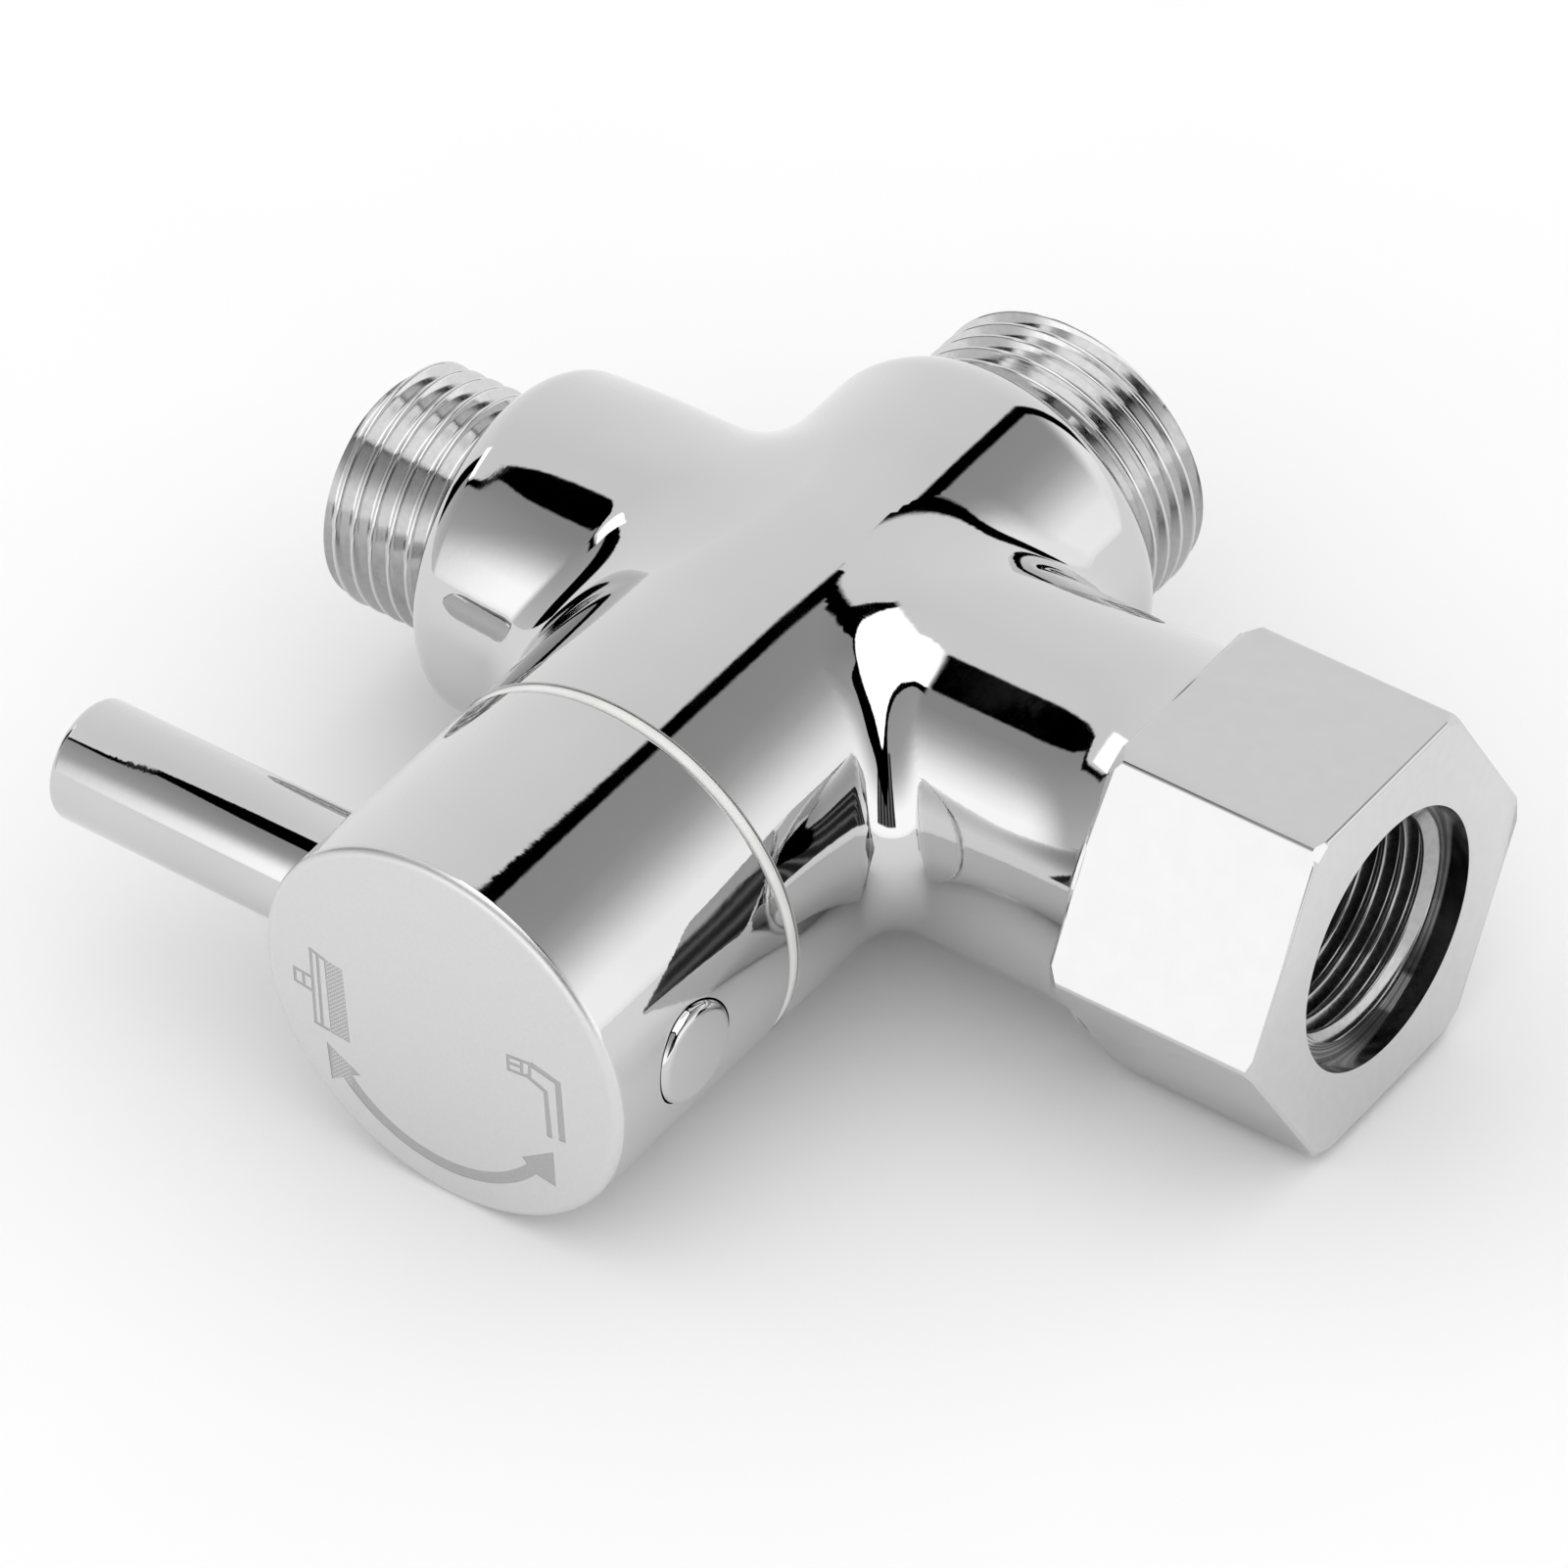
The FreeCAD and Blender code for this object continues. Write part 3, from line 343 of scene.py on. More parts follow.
# %% The ball that rolls round the corner between them
BALL_GROWTH = 10


def ball_radius(side, turn):
    """The rolling ball is small in the crotches and very large on top and below."""
    share = np.abs(np.sin(turn)) ** BALL_GROWTH
    return crotch_ball[side] + (top_ball - crotch_ball[side]) * share


def ball_path(side, turn):
    """Centre of the ball that rolls round the corner between the barrel and one arm."""
    ball = ball_radius(side, turn)
    y = (arm_radius + ball) * np.cos(turn)
    z = (arm_radius + ball) * np.sin(turn)
    x = side * np.sqrt((eased_radius(y) + ball) ** 2 - z ** 2)
    return np.stack([x, y, z], axis=1)


def place_on_path(side, points, samples=360, batch=4000, closer_steps=5, longest_step=0.02):
    """Where on its path the ball comes nearest to each point: a lookup, then a few closer steps."""
    turns = np.linspace(0, math.tau, samples, endpoint=False)
    centres = ball_path(side, turns)
    balls = ball_radius(side, turns)
    first = []
    for start in range(0, len(points), batch):
        away = np.linalg.norm(points[start:start + batch, None] - centres[None], axis=2)
        first.append(turns[np.argmin(away - balls, axis=1)])
    turn = np.concatenate(first)
    step = 1e-4
    for _ in range(closer_steps):
        to_point = points - ball_path(side, turn)
        tangent = (ball_path(side, turn + step) - ball_path(side, turn - step)) / (2 * step)
        growth = (ball_radius(side, turn + step) - ball_radius(side, turn - step)) / (2 * step)
        slip = np.sum(to_point * tangent, axis=1) + np.linalg.norm(to_point, axis=1) * growth
        nearer = slip / np.sum(tangent ** 2, axis=1)
        turn = turn + np.clip(nearer, -longest_step, longest_step)
    return turn


# %% The casting's true surface
CORNER_REACH = 8 * mm
SKIN_BAND = 3 * mm


def casting_field(points):
    """Distance to the casting, and the direction away from it, for points from the crossing."""
    barrel_off, barrel_out = barrel_field(points)
    arm_off, arm_out = arm_field(points)
    nearer_barrel = barrel_off < arm_off
    distance = np.where(nearer_barrel, barrel_off, arm_off)
    outwards = np.where(nearer_barrel[:, None], barrel_out, arm_out)
    for side in (-1, 1):
        close = (side * points[:, 0] > 0) & (side * points[:, 0] < barrel_radius + CORNER_REACH)
        close &= (np.abs(points[:, 1]) < arm_radius + CORNER_REACH) & (np.abs(distance) < SKIN_BAND)
        picked = np.flatnonzero(close)
        turn = place_on_path(side, points[picked])
        centre = ball_path(side, turn)
        to_point = points[picked] - centre
        towards_arm = np.stack([0 * turn, -np.cos(turn), -np.sin(turn)], axis=1)
        towards_barrel = unit(-centre * np.array([1, 0, 1]))
        lean = np.sum(towards_arm * towards_barrel, axis=1)
        on_arm = np.sum(to_point * towards_arm, axis=1)
        on_barrel = np.sum(to_point * towards_barrel, axis=1)
        in_corner = (on_arm - lean * on_barrel > 0) & (on_barrel - lean * on_arm > 0)
        away = np.linalg.norm(to_point, axis=1)
        corner = picked[in_corner]
        distance[corner] = (ball_radius(side, turn) - away)[in_corner]
        outwards[corner] = -unit(to_point)[in_corner]
    return distance, outwards


# %% Lay every point of the skin on the true surface
def places(obj):
    """The vertices of a piece, as an array of places from the crossing."""
    flat = np.empty(len(obj.data.vertices) * 3)
    obj.data.vertices.foreach_get("co", flat)
    return flat.reshape(-1, 3) - np.array(crossing)


def put_places(obj, points):
    obj.data.vertices.foreach_set("co", (points + np.array(crossing)).ravel())
    obj.data.update()


def cut_off(obj, place, direction):
    """Cuts away what lies beyond a plane and closes the cut."""
    edit(obj, "FACE")
    bpy.ops.mesh.select_all(action="SELECT")
    bpy.ops.mesh.bisect(plane_co=place, plane_no=direction, clear_outer=True, use_fill=True, threshold=1e-7)
    leave_edit()


ROUNDS = 3
skin = places(casting)
for _ in range(ROUNDS):
    off, outwards = casting_field(skin)
    kept_ends = (skin[:, 1] < barrel_front - spare / 2) | (skin[:, 0] > hex_back + spare / 2)
    off[kept_ends] = 0
    skin = skin - off[:, None] * outwards
off, outwards = casting_field(skin)
print("points moved, largest distance left:", np.abs(off[~kept_ends]).max())
put_places(casting, skin)
cut_off(casting, crossing + ALONG_Y * barrel_front, -ALONG_Y)
cut_off(casting, crossing + ALONG_X * (hex_back + spare / 4), ALONG_X)

# %% [markdown]
# ## The hexagon
#
# The inlet's hexagon is a six-sided bar whose long edges are broken by the polishing wheel. Its
# corners are turned off at both ends, so it is cut by a turned form, which gives the curved chamfers
# that a nut has. A small cove joins its back to the arm.

# %% The hexagon with its turned corners
hex_face = body_high.x - crossing.x
hex_step = 1.1 * mm
hex_across_flats = 2 * (arm_radius + hex_step)
hex_corner_radius = hex_across_flats / math.sqrt(3)
hex_edge = 0.3 * mm
corner_cut = 0.9
front_cut = 0.6
back_cut = 1.2
hexagon = bar("inlet_hexagon", hex_corner_radius, crossing + ALONG_X * hex_back,
              crossing + ALONG_X * hex_face, sides=6)
edit(hexagon, "VERT")
bpy.ops.mesh.select_all(action="SELECT")
bpy.ops.transform.rotate(value=math.radians(30), orient_axis="X", center_override=crossing)
leave_edit()
for edge in hexagon.data.edges:
    first, second = (hexagon.data.vertices[index].co for index in edge.vertices)
    edge.select = abs(first.x - second.x) > mm
edit(hexagon, "EDGE")
bpy.ops.mesh.bevel(offset=hex_edge, segments=3, profile=0.5, affect="EDGES")
leave_edit()
length = (hex_face - hex_back) / mm
rim = hex_corner_radius / mm
chamfers = turned("hexagon_chamfers", crossing + ALONG_X * hex_back, ALONG_X, [
    (0, 0),
    (0, rim - corner_cut),
    (back_cut, rim),
    (length - front_cut, rim),
    (length, rim - corner_cut),
    (length, 0),
])
combine(hexagon, chamfers, "INTERSECT")
print("hexagon across flats", hex_across_flats)

# %% The cove at the hexagon's root, and the hexagon on its arm
cove = 0.5
COVE_STEPS = 6
in_hexagon = 0.3
neck = (arm_radius + neck_flare) / mm
in_neck = neck - 0.9
cove_points = [(in_hexagon, in_neck), (-cove, in_neck), (-cove, neck)]
for step in range(1, COVE_STEPS + 1):
    angle = math.pi / 2 * step / COVE_STEPS
    cove_points.append((-cove + cove * math.sin(angle), neck + cove * (1 - math.cos(angle))))
cove_points += [(in_hexagon, neck + cove), (in_hexagon, in_neck)]
root_cove = turned("root_cove", crossing + ALONG_X * hex_back, ALONG_X, cove_points)
combine(hexagon, root_cove, "UNION")
combine(casting, hexagon, "UNION")

# %% [markdown]
# ## Threads
#
# All three are parallel pipe threads: 14 turns to the inch, flanks at 55 degrees, crests and roots
# rounded. One tooth's profile is drawn and a Screw modifier sweeps it up a helix. Its turns are merged
# into one skin, and the skin is cut square at both ends. A male thread is then added to the body, and
# for the female one the same bar is cut out of it.

# %% A threaded bar
PITCH = 25.4 / 14
THREAD_DEPTH = 0.640327 * PITCH
CREST_ROUNDING = 0.137329 * PITCH
FLANK_LEAN = math.radians(27.5)
TURN_STEPS = 96
LEAD_IN = 1.5


def tooth_points(crest_radius):
    """One pitch of the thread's profile, from root to root, as (along, radius)."""
    root_radius = crest_radius - THREAD_DEPTH
    arc = math.pi / 2 - FLANK_LEAN
    rounding = [(CREST_ROUNDING * math.sin(arc * share), CREST_ROUNDING * (1 - math.cos(arc * share)))
                for share in (0, 1 / 3, 2 / 3, 1)]
    points = [(along, root_radius + rise) for along, rise in rounding]
    points += [(PITCH / 2 - along, crest_radius - drop) for along, drop in reversed(rounding)]
    mirrored = [(PITCH - along, radius) for along, radius in points[-2::-1]]
    return points + mirrored


def threaded_bar(name, crest_radius, start, direction, length):
    """A round bar with a right-handed thread, swept with spare turns at both ends and then cut."""
    turns = math.ceil(length / PITCH + 2 * LEAD_IN)
    profile = [Vector((radius, 0, along)) * mm for along, radius in tooth_points(crest_radius)]
    obj = outline(name, profile)
    sweep = obj.modifiers.new("sweep", "SCREW")
    sweep.axis = "Z"
    sweep.angle = math.tau
    sweep.screw_offset = PITCH * mm
    sweep.iterations = turns
    sweep.steps = TURN_STEPS
    sweep.render_steps = TURN_STEPS
    sweep.use_merge_vertices = False
    sweep.use_smooth_shade = True
    pick(obj)
    bpy.ops.object.modifier_apply(modifier=sweep.name)
    tidy_shell(obj)
    low = Vector((0, 0, LEAD_IN * PITCH * mm))
    high = low + Vector((0, 0, length * mm))
    cut_off(obj, low, Vector((0, 0, -1)))
    cut_off(obj, high, Vector((0, 0, 1)))
    tidy_shell(obj)
    turn_to = Vector(direction).to_track_quat("Z", "Y")
    obj.rotation_mode = "QUATERNION"
    obj.rotation_quaternion = turn_to
    obj.location = Vector(start) - turn_to @ low
    return settle(obj, name)


# %% The two male threads, with chamfered ends
HALF_INCH_MALE = 10.478
THREE_QUARTER_MALE = 13.221
THREAD_CHAMFER = 0.7
SUNK = 1.0
left_thread_length = (-left_boss_end - (body_low.x - crossing.x)) / mm
rear_thread_length = (body_high.y - rear_boss_end) / mm


def male_thread(name, crest_radius, shoulder, direction, length):
    start = Vector(shoulder) - Vector(direction) * SUNK * mm
    thread = threaded_bar(name, crest_radius, start, direction, length + SUNK)
    spare_radius = crest_radius + THREAD_CHAMFER
    chamfer = turned(name + "_chamfer", shoulder, direction, [
        (-2 * SUNK, 0),
        (-2 * SUNK, spare_radius),
        (length - 2 * THREAD_CHAMFER, spare_radius),
        (length, crest_radius - THREAD_CHAMFER),
        (length, 0),
    ])
    combine(thread, chamfer, "INTERSECT")
    return thread


left_thread = male_thread("side_outlet_thread", HALF_INCH_MALE, crossing - ALONG_X * left_boss_end,
                          -ALONG_X, left_thread_length)
rear_thread = male_thread("rear_outlet_thread", THREE_QUARTER_MALE, crossing + ALONG_Y * rear_boss_end,
                          ALONG_Y, rear_thread_length)
combine(casting, left_thread, "UNION")
combine(casting, rear_thread, "UNION")
print("threads of", left_thread_length, "and", rear_thread_length, "mm")

# %% [markdown]
# ## Bores and water ways
#
# Now the drill: the chamber for the cartridge from the front, the two half-moon ports under its seat,
# the outlets' bores, and the inlet with its counterbore, thread, washer relief and bore.

# %% Drill the chamber and the water ways
OVERRUN = 1.0
FEWER_SIDES = 96
front = barrel_front / mm
left_end = (body_low.x - crossing.x) / mm
rear_end = body_high.y / mm
face = hex_face / mm
GLAND_BORE = 12.0
GLAND_SHOULDER = -19.0
RECESS = 15.0
RECESS_DEPTH = 1.1
CHAMBER = 11.0
PORT = 6.9
BRIDGE = 1.25
REAR_CHANNEL = 12.6
LEFT_PORT_END = 10.4
REAR_BORE = 9.0
LEFT_BORE = 6.5
WALL_X = 13.6
COUNTERBORE = 11.2
COUNTERBORE_DEPTH = 2.2
RELIEF = 10.6
INLET_THREAD = 14.0
RELIEF_LENGTH = 2.5
INLET_BORE = 7.0
LEFT_SLOT = {"radius": 3.6, "half_height": 2.8, "x_from": -WALL_X - OVERRUN, "x_to": -2.25, "y": 6.8}
INLET_SLOT = {"radius": 4.2, "half_height": 3.5, "x_from": 8.4, "x_to": WALL_X + OVERRUN, "y": -5.2}
THREAD_OVERRUN = 0.5


def half_moon(side, y_to):
    """A bar along Y, on one side of the bridge between the two ports."""
    tool = bar("port", PORT * mm, at(0, -OVERRUN, 0), at(0, y_to, 0), FEWER_SIDES)
    cut_off(tool, at(side * BRIDGE, 0, 0), -side * ALONG_X)
    return tool


def slot(radius, half_height, x_from, x_to, y):
    """A bar along X whose upper half is lifted and whose lower half is lowered."""
    tool = bar("slot", radius * mm, at(x_from, y, 0), at(x_to, y, 0), FEWER_SIDES // 2)
    for vertex in tool.data.vertices:
        vertex.co.z += math.copysign(half_height * mm, vertex.co.z)
    return tool


thread_top = face - COUNTERBORE_DEPTH
thread_end = thread_top - INLET_THREAD
seat = thread_end - RELIEF_LENGTH
before_front = at(0, front - OVERRUN, 0)
tools = [
    bar("recess", RECESS * mm, before_front, at(0, front + RECESS_DEPTH, 0)),
    bar("gland_bore", GLAND_BORE * mm, before_front, at(0, GLAND_SHOULDER, 0)),
    bar("chamber", CHAMBER * mm, before_front, at(0, 0, 0)),
    half_moon(1, REAR_CHANNEL + OVERRUN),
    half_moon(-1, LEFT_PORT_END),
    bar("rear_bore", REAR_BORE * mm, at(0, REAR_CHANNEL, 0), at(0, rear_end + OVERRUN, 0)),
    bar("left_bore", LEFT_BORE * mm, at(left_end - OVERRUN, 0, 0), at(-WALL_X, 0, 0)),
    slot(**LEFT_SLOT),
    bar("counterbore", COUNTERBORE * mm, at(thread_top, 0, 0), at(face + OVERRUN, 0, 0)),
    threaded_bar("inlet_thread", HALF_INCH_MALE, at(thread_end - THREAD_OVERRUN, 0, 0), ALONG_X,
                 INLET_THREAD + THREAD_OVERRUN + OVERRUN),
    bar("relief", RELIEF * mm, at(seat, 0, 0), at(thread_end, 0, 0)),
    bar("inlet_bore", INLET_BORE * mm, at(WALL_X, 0, 0), at(seat + OVERRUN, 0, 0)),
    slot(**INLET_SLOT),
]
for tool in tools:
    combine(casting, tool, "DIFFERENCE")
print("faces of the body:", len(casting.data.polygons))

# %% [markdown]
# The skin's own normals still show the small steps of its mesh in a reflection. So every corner of a
# face that lies on the true surface gets the true direction as its normal, which is what a polisher
# does to a casting. Sharp edges stay sharp.

# %% Polish the casting
def shade(obj, angle=30):
    """Smooth faces, with edges kept sharp where they turn more than an angle."""
    pick(obj)
    bpy.ops.object.shade_smooth_by_angle(angle=math.radians(angle))


def polish(obj, field, lies_on=0.02 * mm, lean=0.94):
    """Gives face corners on a true surface that surface's own normals."""
    mesh = obj.data
    off, outwards = field(places(obj))
    corners = np.empty(len(mesh.loops), np.int32)
    mesh.loops.foreach_get("vertex_index", corners)
    sizes = np.empty(len(mesh.polygons), np.int32)
    mesh.polygons.foreach_get("loop_total", sizes)
    face_out = np.empty(len(mesh.polygons) * 3)
    mesh.polygons.foreach_get("normal", face_out)
    face_out = np.repeat(face_out.reshape(-1, 3), sizes, axis=0)
    normals = outwards[corners]
    true = (np.abs(off[corners]) < lies_on) & (np.sum(normals * face_out, axis=1) > lean)
    normals = np.where(true[:, None], normals, 0)
    mesh.normals_split_custom_set(normals.tolist())
    print(obj.name, "polished corners:", int(true.sum()), "of", len(corners))


shade(casting)
polish(casting, casting_field)
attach(casting, "valve")
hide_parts("valve_body")

# %% [markdown]
# ## The knob
#
# The knob is a turned cylinder with a small radius round its face. It is cored from behind, so that a
# splined hub and two ribs are left, and it is bored from the sides for the lever and for the plug over
# its set screw. A bar is added, its end circles are bevelled, and the drills are cut out of it.

# %% Sizes of the knob, from the CAD
knob_low, knob_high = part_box("knob")
lever_low, lever_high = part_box("lever_rod")
plug_low, plug_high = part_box("plug_button")
knob_radius = knob_high.z / mm
knob_face = knob_low.y / mm
knob_rear = knob_high.y / mm
lever_line = (lever_low.y + lever_high.y) / 2 / mm
lever_radius = lever_high.z / mm
lever_tip = (lever_low.x - crossing.x) / mm
lever_end = (lever_high.x - crossing.x) / mm
plug_radius = plug_high.z / mm
plug_end = (plug_high.x - crossing.x) / mm
plug_stem_end = (plug_low.x - crossing.x) / mm
KNOB_EDGE = 0.8
KNOB_REAR_EDGE = 0.3
KNOB_WALL = 2.5
FACE_THICKNESS = 3.4
POCKET = knob_radius - KNOB_WALL
INNER_FACE = knob_face + FACE_THICKNESS
HUB = 8.5
HUB_REAR = -33.95
RIB_HALF = 6.6
SPLINE_BORE = 4.03
SPLINE_FLOOR = -45.25
SEAT_DEPTH = 2.6
SEAT = knob_radius - SEAT_DEPTH
STUD = 3.0
STUD_GAP = 0.02
STUD_SPARE = 0.3
STEM_SPARE = 0.3
STEM = 3.5
SCREW = 2.52
SCREW_STOP = 0.2
LOOSE = 0.05
PLUG_GAP = 0.13
print("knob radius", knob_radius, "from", knob_face, "to", knob_rear)

# %% The knob, cored and drilled
knob = bar("knob_shell", knob_radius * mm, at(0, knob_face, 0), at(0, knob_rear, 0))
round_circle(knob, at(0, knob_face, 0), ALONG_Y, knob_radius * mm, KNOB_EDGE * mm, segments=6)
round_circle(knob, at(0, knob_rear, 0), ALONG_Y, knob_radius * mm, KNOB_REAR_EDGE * mm, segments=3)

core = bar("core", POCKET * mm, at(0, INNER_FACE, 0), at(0, HUB_REAR, 0))
hub = bar("hub", HUB * mm, at(0, INNER_FACE - OVERRUN, 0), at(0, HUB_REAR + OVERRUN, 0))
combine(core, hub, "DIFFERENCE")
PAST_THE_CORE = (40 * mm, 20 * mm)
bpy.ops.mesh.primitive_cube_add(size=1, location=at(0, (INNER_FACE + HUB_REAR) / 2, 0),
                                scale=(*PAST_THE_CORE, 2 * RIB_HALF * mm))
combine(core, settle(bpy.context.object, "ribs"), "DIFFERENCE")


def along_lever(name, radius, x_from, x_to):
    """A plain bar along the line of the lever."""
    return bar(name, radius * mm, at(x_from, lever_line, 0), at(x_to, lever_line, 0), FEWER_SIDES)


for tool in [
    core,
    bar("pocket", POCKET * mm, at(0, HUB_REAR, 0), at(0, knob_rear + OVERRUN, 0)),
    bar("spline_bore", SPLINE_BORE * mm, at(0, SPLINE_FLOOR, 0), at(0, HUB_REAR + OVERRUN, 0)),
    along_lever("lever_drill", lever_radius + LOOSE, -knob_radius - OVERRUN, -SEAT),
    along_lever("stud_drill", STUD + STUD_GAP, -SEAT - OVERRUN, lever_end + STUD_SPARE),
    along_lever("screw_drill", SCREW, 0, plug_stem_end - SCREW_STOP),
    along_lever("stem_drill", STEM + LOOSE, plug_stem_end - STEM_SPARE, SEAT + OVERRUN),
    along_lever("plug_drill", plug_radius + PLUG_GAP, SEAT, knob_radius + OVERRUN),
]:
    combine(knob, tool, "DIFFERENCE")

# %% [markdown]
# The marks on the knob's face are etched, a few hundredths of a millimetre deep: a shower head where
# the lever sends water to the shower, a bent spout for the other outlet, and an arc with two heads for
# the turn between them. Each is drawn as a line of a width or as an outline, given a thickness, and cut
# into the face, so that the light catches its edges as on the real knob.

# %% Tools that etch a line or a shape into the face
ETCH = 0.03
FINE = 0.3


def plate(*points):
    """A flat tool for etching, from its corners (x, z) in millimetres."""
    corners = [at(x, knob_face + ETCH, z) for x, z in points]
    obj = outline("etching", corners)
    edit(obj, "VERT")
    bpy.ops.mesh.select_all(action="SELECT")
    bpy.ops.mesh.edge_face_add()
    bpy.ops.mesh.extrude_region_move(TRANSFORM_OT_translate={"value": -ALONG_Y * mm})
    leave_edit()
    tidy_shell(obj)
    return obj


def line(*points, width=FINE):
    """A tool for a line of one width through some points, mitred at its corners."""
    points = [Vector(point) for point in points]
    sides = []
    for index, point in enumerate(points):
        before = (point - points[index - 1]).normalized() if index else None
        after = (points[index + 1] - point).normalized() if index + 1 < len(points) else None
        before, after = before or after, after or before
        along = (before + after).normalized()
        across = Vector((-along.y, along.x)) * width / 2 / along.dot(before)
        sides.append((point + across, point - across))
    return plate(*[left for left, _ in sides], *[right for _, right in reversed(sides)])


# %% The arc with its two heads
ARC_CENTRE = Vector((-0.6, -2.4))
ARC_RADIUS = 11.45
ARC_WIDTH = 1.1
ARC_FROM = math.radians(218)
ARC_TO = math.radians(321)
ARC_STEPS = 28
RIGHT_HEAD = [(10.6, -10.25), (10.55, -6.6), (7.4, -8.8)]
LEFT_HEAD = [(-8.3, -8.7), (-11.5, -6.8), (-11.25, -10.6)]


def arc_side(radius):
    """Places along one side of the arc, from left to right."""
    angles = [ARC_FROM + (ARC_TO - ARC_FROM) * step / ARC_STEPS for step in range(ARC_STEPS + 1)]
    return [ARC_CENTRE + Vector((math.cos(angle), math.sin(angle))) * radius for angle in angles]


outer_arc = arc_side(ARC_RADIUS + ARC_WIDTH / 2)
inner_arc = arc_side(ARC_RADIUS - ARC_WIDTH / 2)
etchings = [plate(*outer_arc, *RIGHT_HEAD, *reversed(inner_arc), *LEFT_HEAD)]

# %% The shower head and the spout
HEAD_LEFT, HEAD_RIGHT, HEAD_TOP, HEAD_BOTTOM = -12.45, -9.3, 2.6, -5.2
SPRAY_LEFT = -11.15
shower_head = [
    line((HEAD_LEFT, HEAD_TOP), (HEAD_LEFT, HEAD_BOTTOM)),
    line((HEAD_LEFT - FINE / 2, HEAD_TOP), (SPRAY_LEFT + 0.1, 2.1)),
    line((HEAD_LEFT - FINE / 2, HEAD_BOTTOM), (SPRAY_LEFT + 0.1, -5.35)),
    line((HEAD_LEFT + 0.65, 2.4), (HEAD_LEFT + 0.65, -5.2)),
    plate((SPRAY_LEFT, 2.2), (HEAD_RIGHT - 0.1, 1.95), (HEAD_RIGHT + 0.15, -5.65),
          (SPRAY_LEFT + 0.15, -5.5)),
    line((HEAD_LEFT, -0.45), (-14.2, -0.3), (-14.2, -1.65), (HEAD_LEFT, -1.9)),
    line((-13.35, -0.3), (-13.35, -1.8)),
]
spout = [
    plate((8.9, 2.08), (11.68, 1.35), (11.84, -4.9), (11.2, -5.0), (11.1, 0.95), (8.9, 1.46)),
    plate((8.36, 0.58), (10.34, -0.24), (10.55, -5.15), (10.03, -5.17), (9.94, -0.55), (8.26, 0.18)),
    line((6.62, 1.65), (6.62, -0.05)),
    line((6.5, 1.5), (8.85, 1.8)),
    line((6.5, 0.05), (8.75, 0.35)),
    line((6.6, 0.8), (7.9, 0.98)),
    line((7.95, 1.75), (7.9, 0.2)),
    line((8.75, 1.95), (8.65, 0.25)),
]
etchings += shower_head + spout
for tool in etchings:
    combine(knob, tool, "DIFFERENCE")
print("etched marks:", len(etchings), "faces of the knob:", len(knob.data.polygons))


# %% Shade, polish and place the knob
def knob_field(points):
    """Distance to the knob's outside and the direction away from it."""
    radial = unit(points * np.array([1, 0, 1]))
    off_axis = np.hypot(points[:, 0], points[:, 2])
    past_face = knob_face * mm - points[:, 1]
    return rounded_bar(off_axis, radial, past_face, -ALONG_Y, knob_radius * mm, KNOB_EDGE * mm)


shade(knob)
polish(knob, knob_field)
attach(knob, "handle")
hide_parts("knob")

# %% [markdown]
# ## The lever, the plug and the ring
#
# The lever is a plain round rod with a broken edge at its tip, and it screws into the knob by a stud.
# The plug is a short rod of the same kind, with a stem. The white ring between knob and body is a thin
# turned washer with a lip that centres it.

# %% The lever and its stud
ROD_EDGE = 0.7
ROD_SIDES = 144


def rod(name, radius, x_tip, x_seat):
    """A round rod across the knob, with its tip rounded off."""
    tip = at(x_tip, lever_line, 0)
    obj = bar(name, radius * mm, tip, at(x_seat, lever_line, 0), ROD_SIDES)
    round_circle(obj, tip, ALONG_X, radius * mm, ROD_EDGE * mm, segments=6)
    return obj


lever = rod("lever", lever_radius, lever_tip, -SEAT)
combine(lever, along_lever("stud", STUD, -SEAT - OVERRUN, lever_end), "UNION")
shade(lever)
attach(lever, "handle")
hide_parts("lever_rod")

# %% The plug over the set screw
plug = rod("screw_plug", plug_radius, plug_end, SEAT)
combine(plug, along_lever("stem", STEM, plug_stem_end, SEAT + OVERRUN), "UNION")
shade(plug)
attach(plug, "handle")
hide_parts("plug_button")

# %% The white ring
ring_low, ring_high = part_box("glide_ring")
ring_radius = ring_high.z / mm
RING_EDGE = 0.15
RING_THICK = 1.0
RING_BORE = 12.6
LIP = 14.9
LIP_BORE = 13.4
lip_end = (ring_high.y - ring_low.y) / mm
ring = turned("white_ring", Vector((crossing.x, ring_low.y, 0)), ALONG_Y, [
    (0, RING_BORE),
    (0, ring_radius - RING_EDGE),
    (RING_EDGE, ring_radius),
    (RING_THICK - RING_EDGE, ring_radius),
    (RING_THICK, ring_radius - RING_EDGE),
    (RING_THICK, LIP),
    (lip_end, LIP),
    (lip_end, LIP_BORE),
    (RING_THICK, LIP_BORE),
    (RING_THICK, RING_BORE),
    (0, RING_BORE),
])
shade(ring, 60)
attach(ring, "valve")
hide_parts("glide_ring")
print("ring radius", ring_radius, "length with its lip", lip_end)

# %% [markdown]
# ## Shader maths as expressions
#
# A material is a sum of small maths. One small class wraps a socket of a node tree, so that an
# expression such as 1 - mask adds its Math nodes by itself. Every other node comes from its node method.

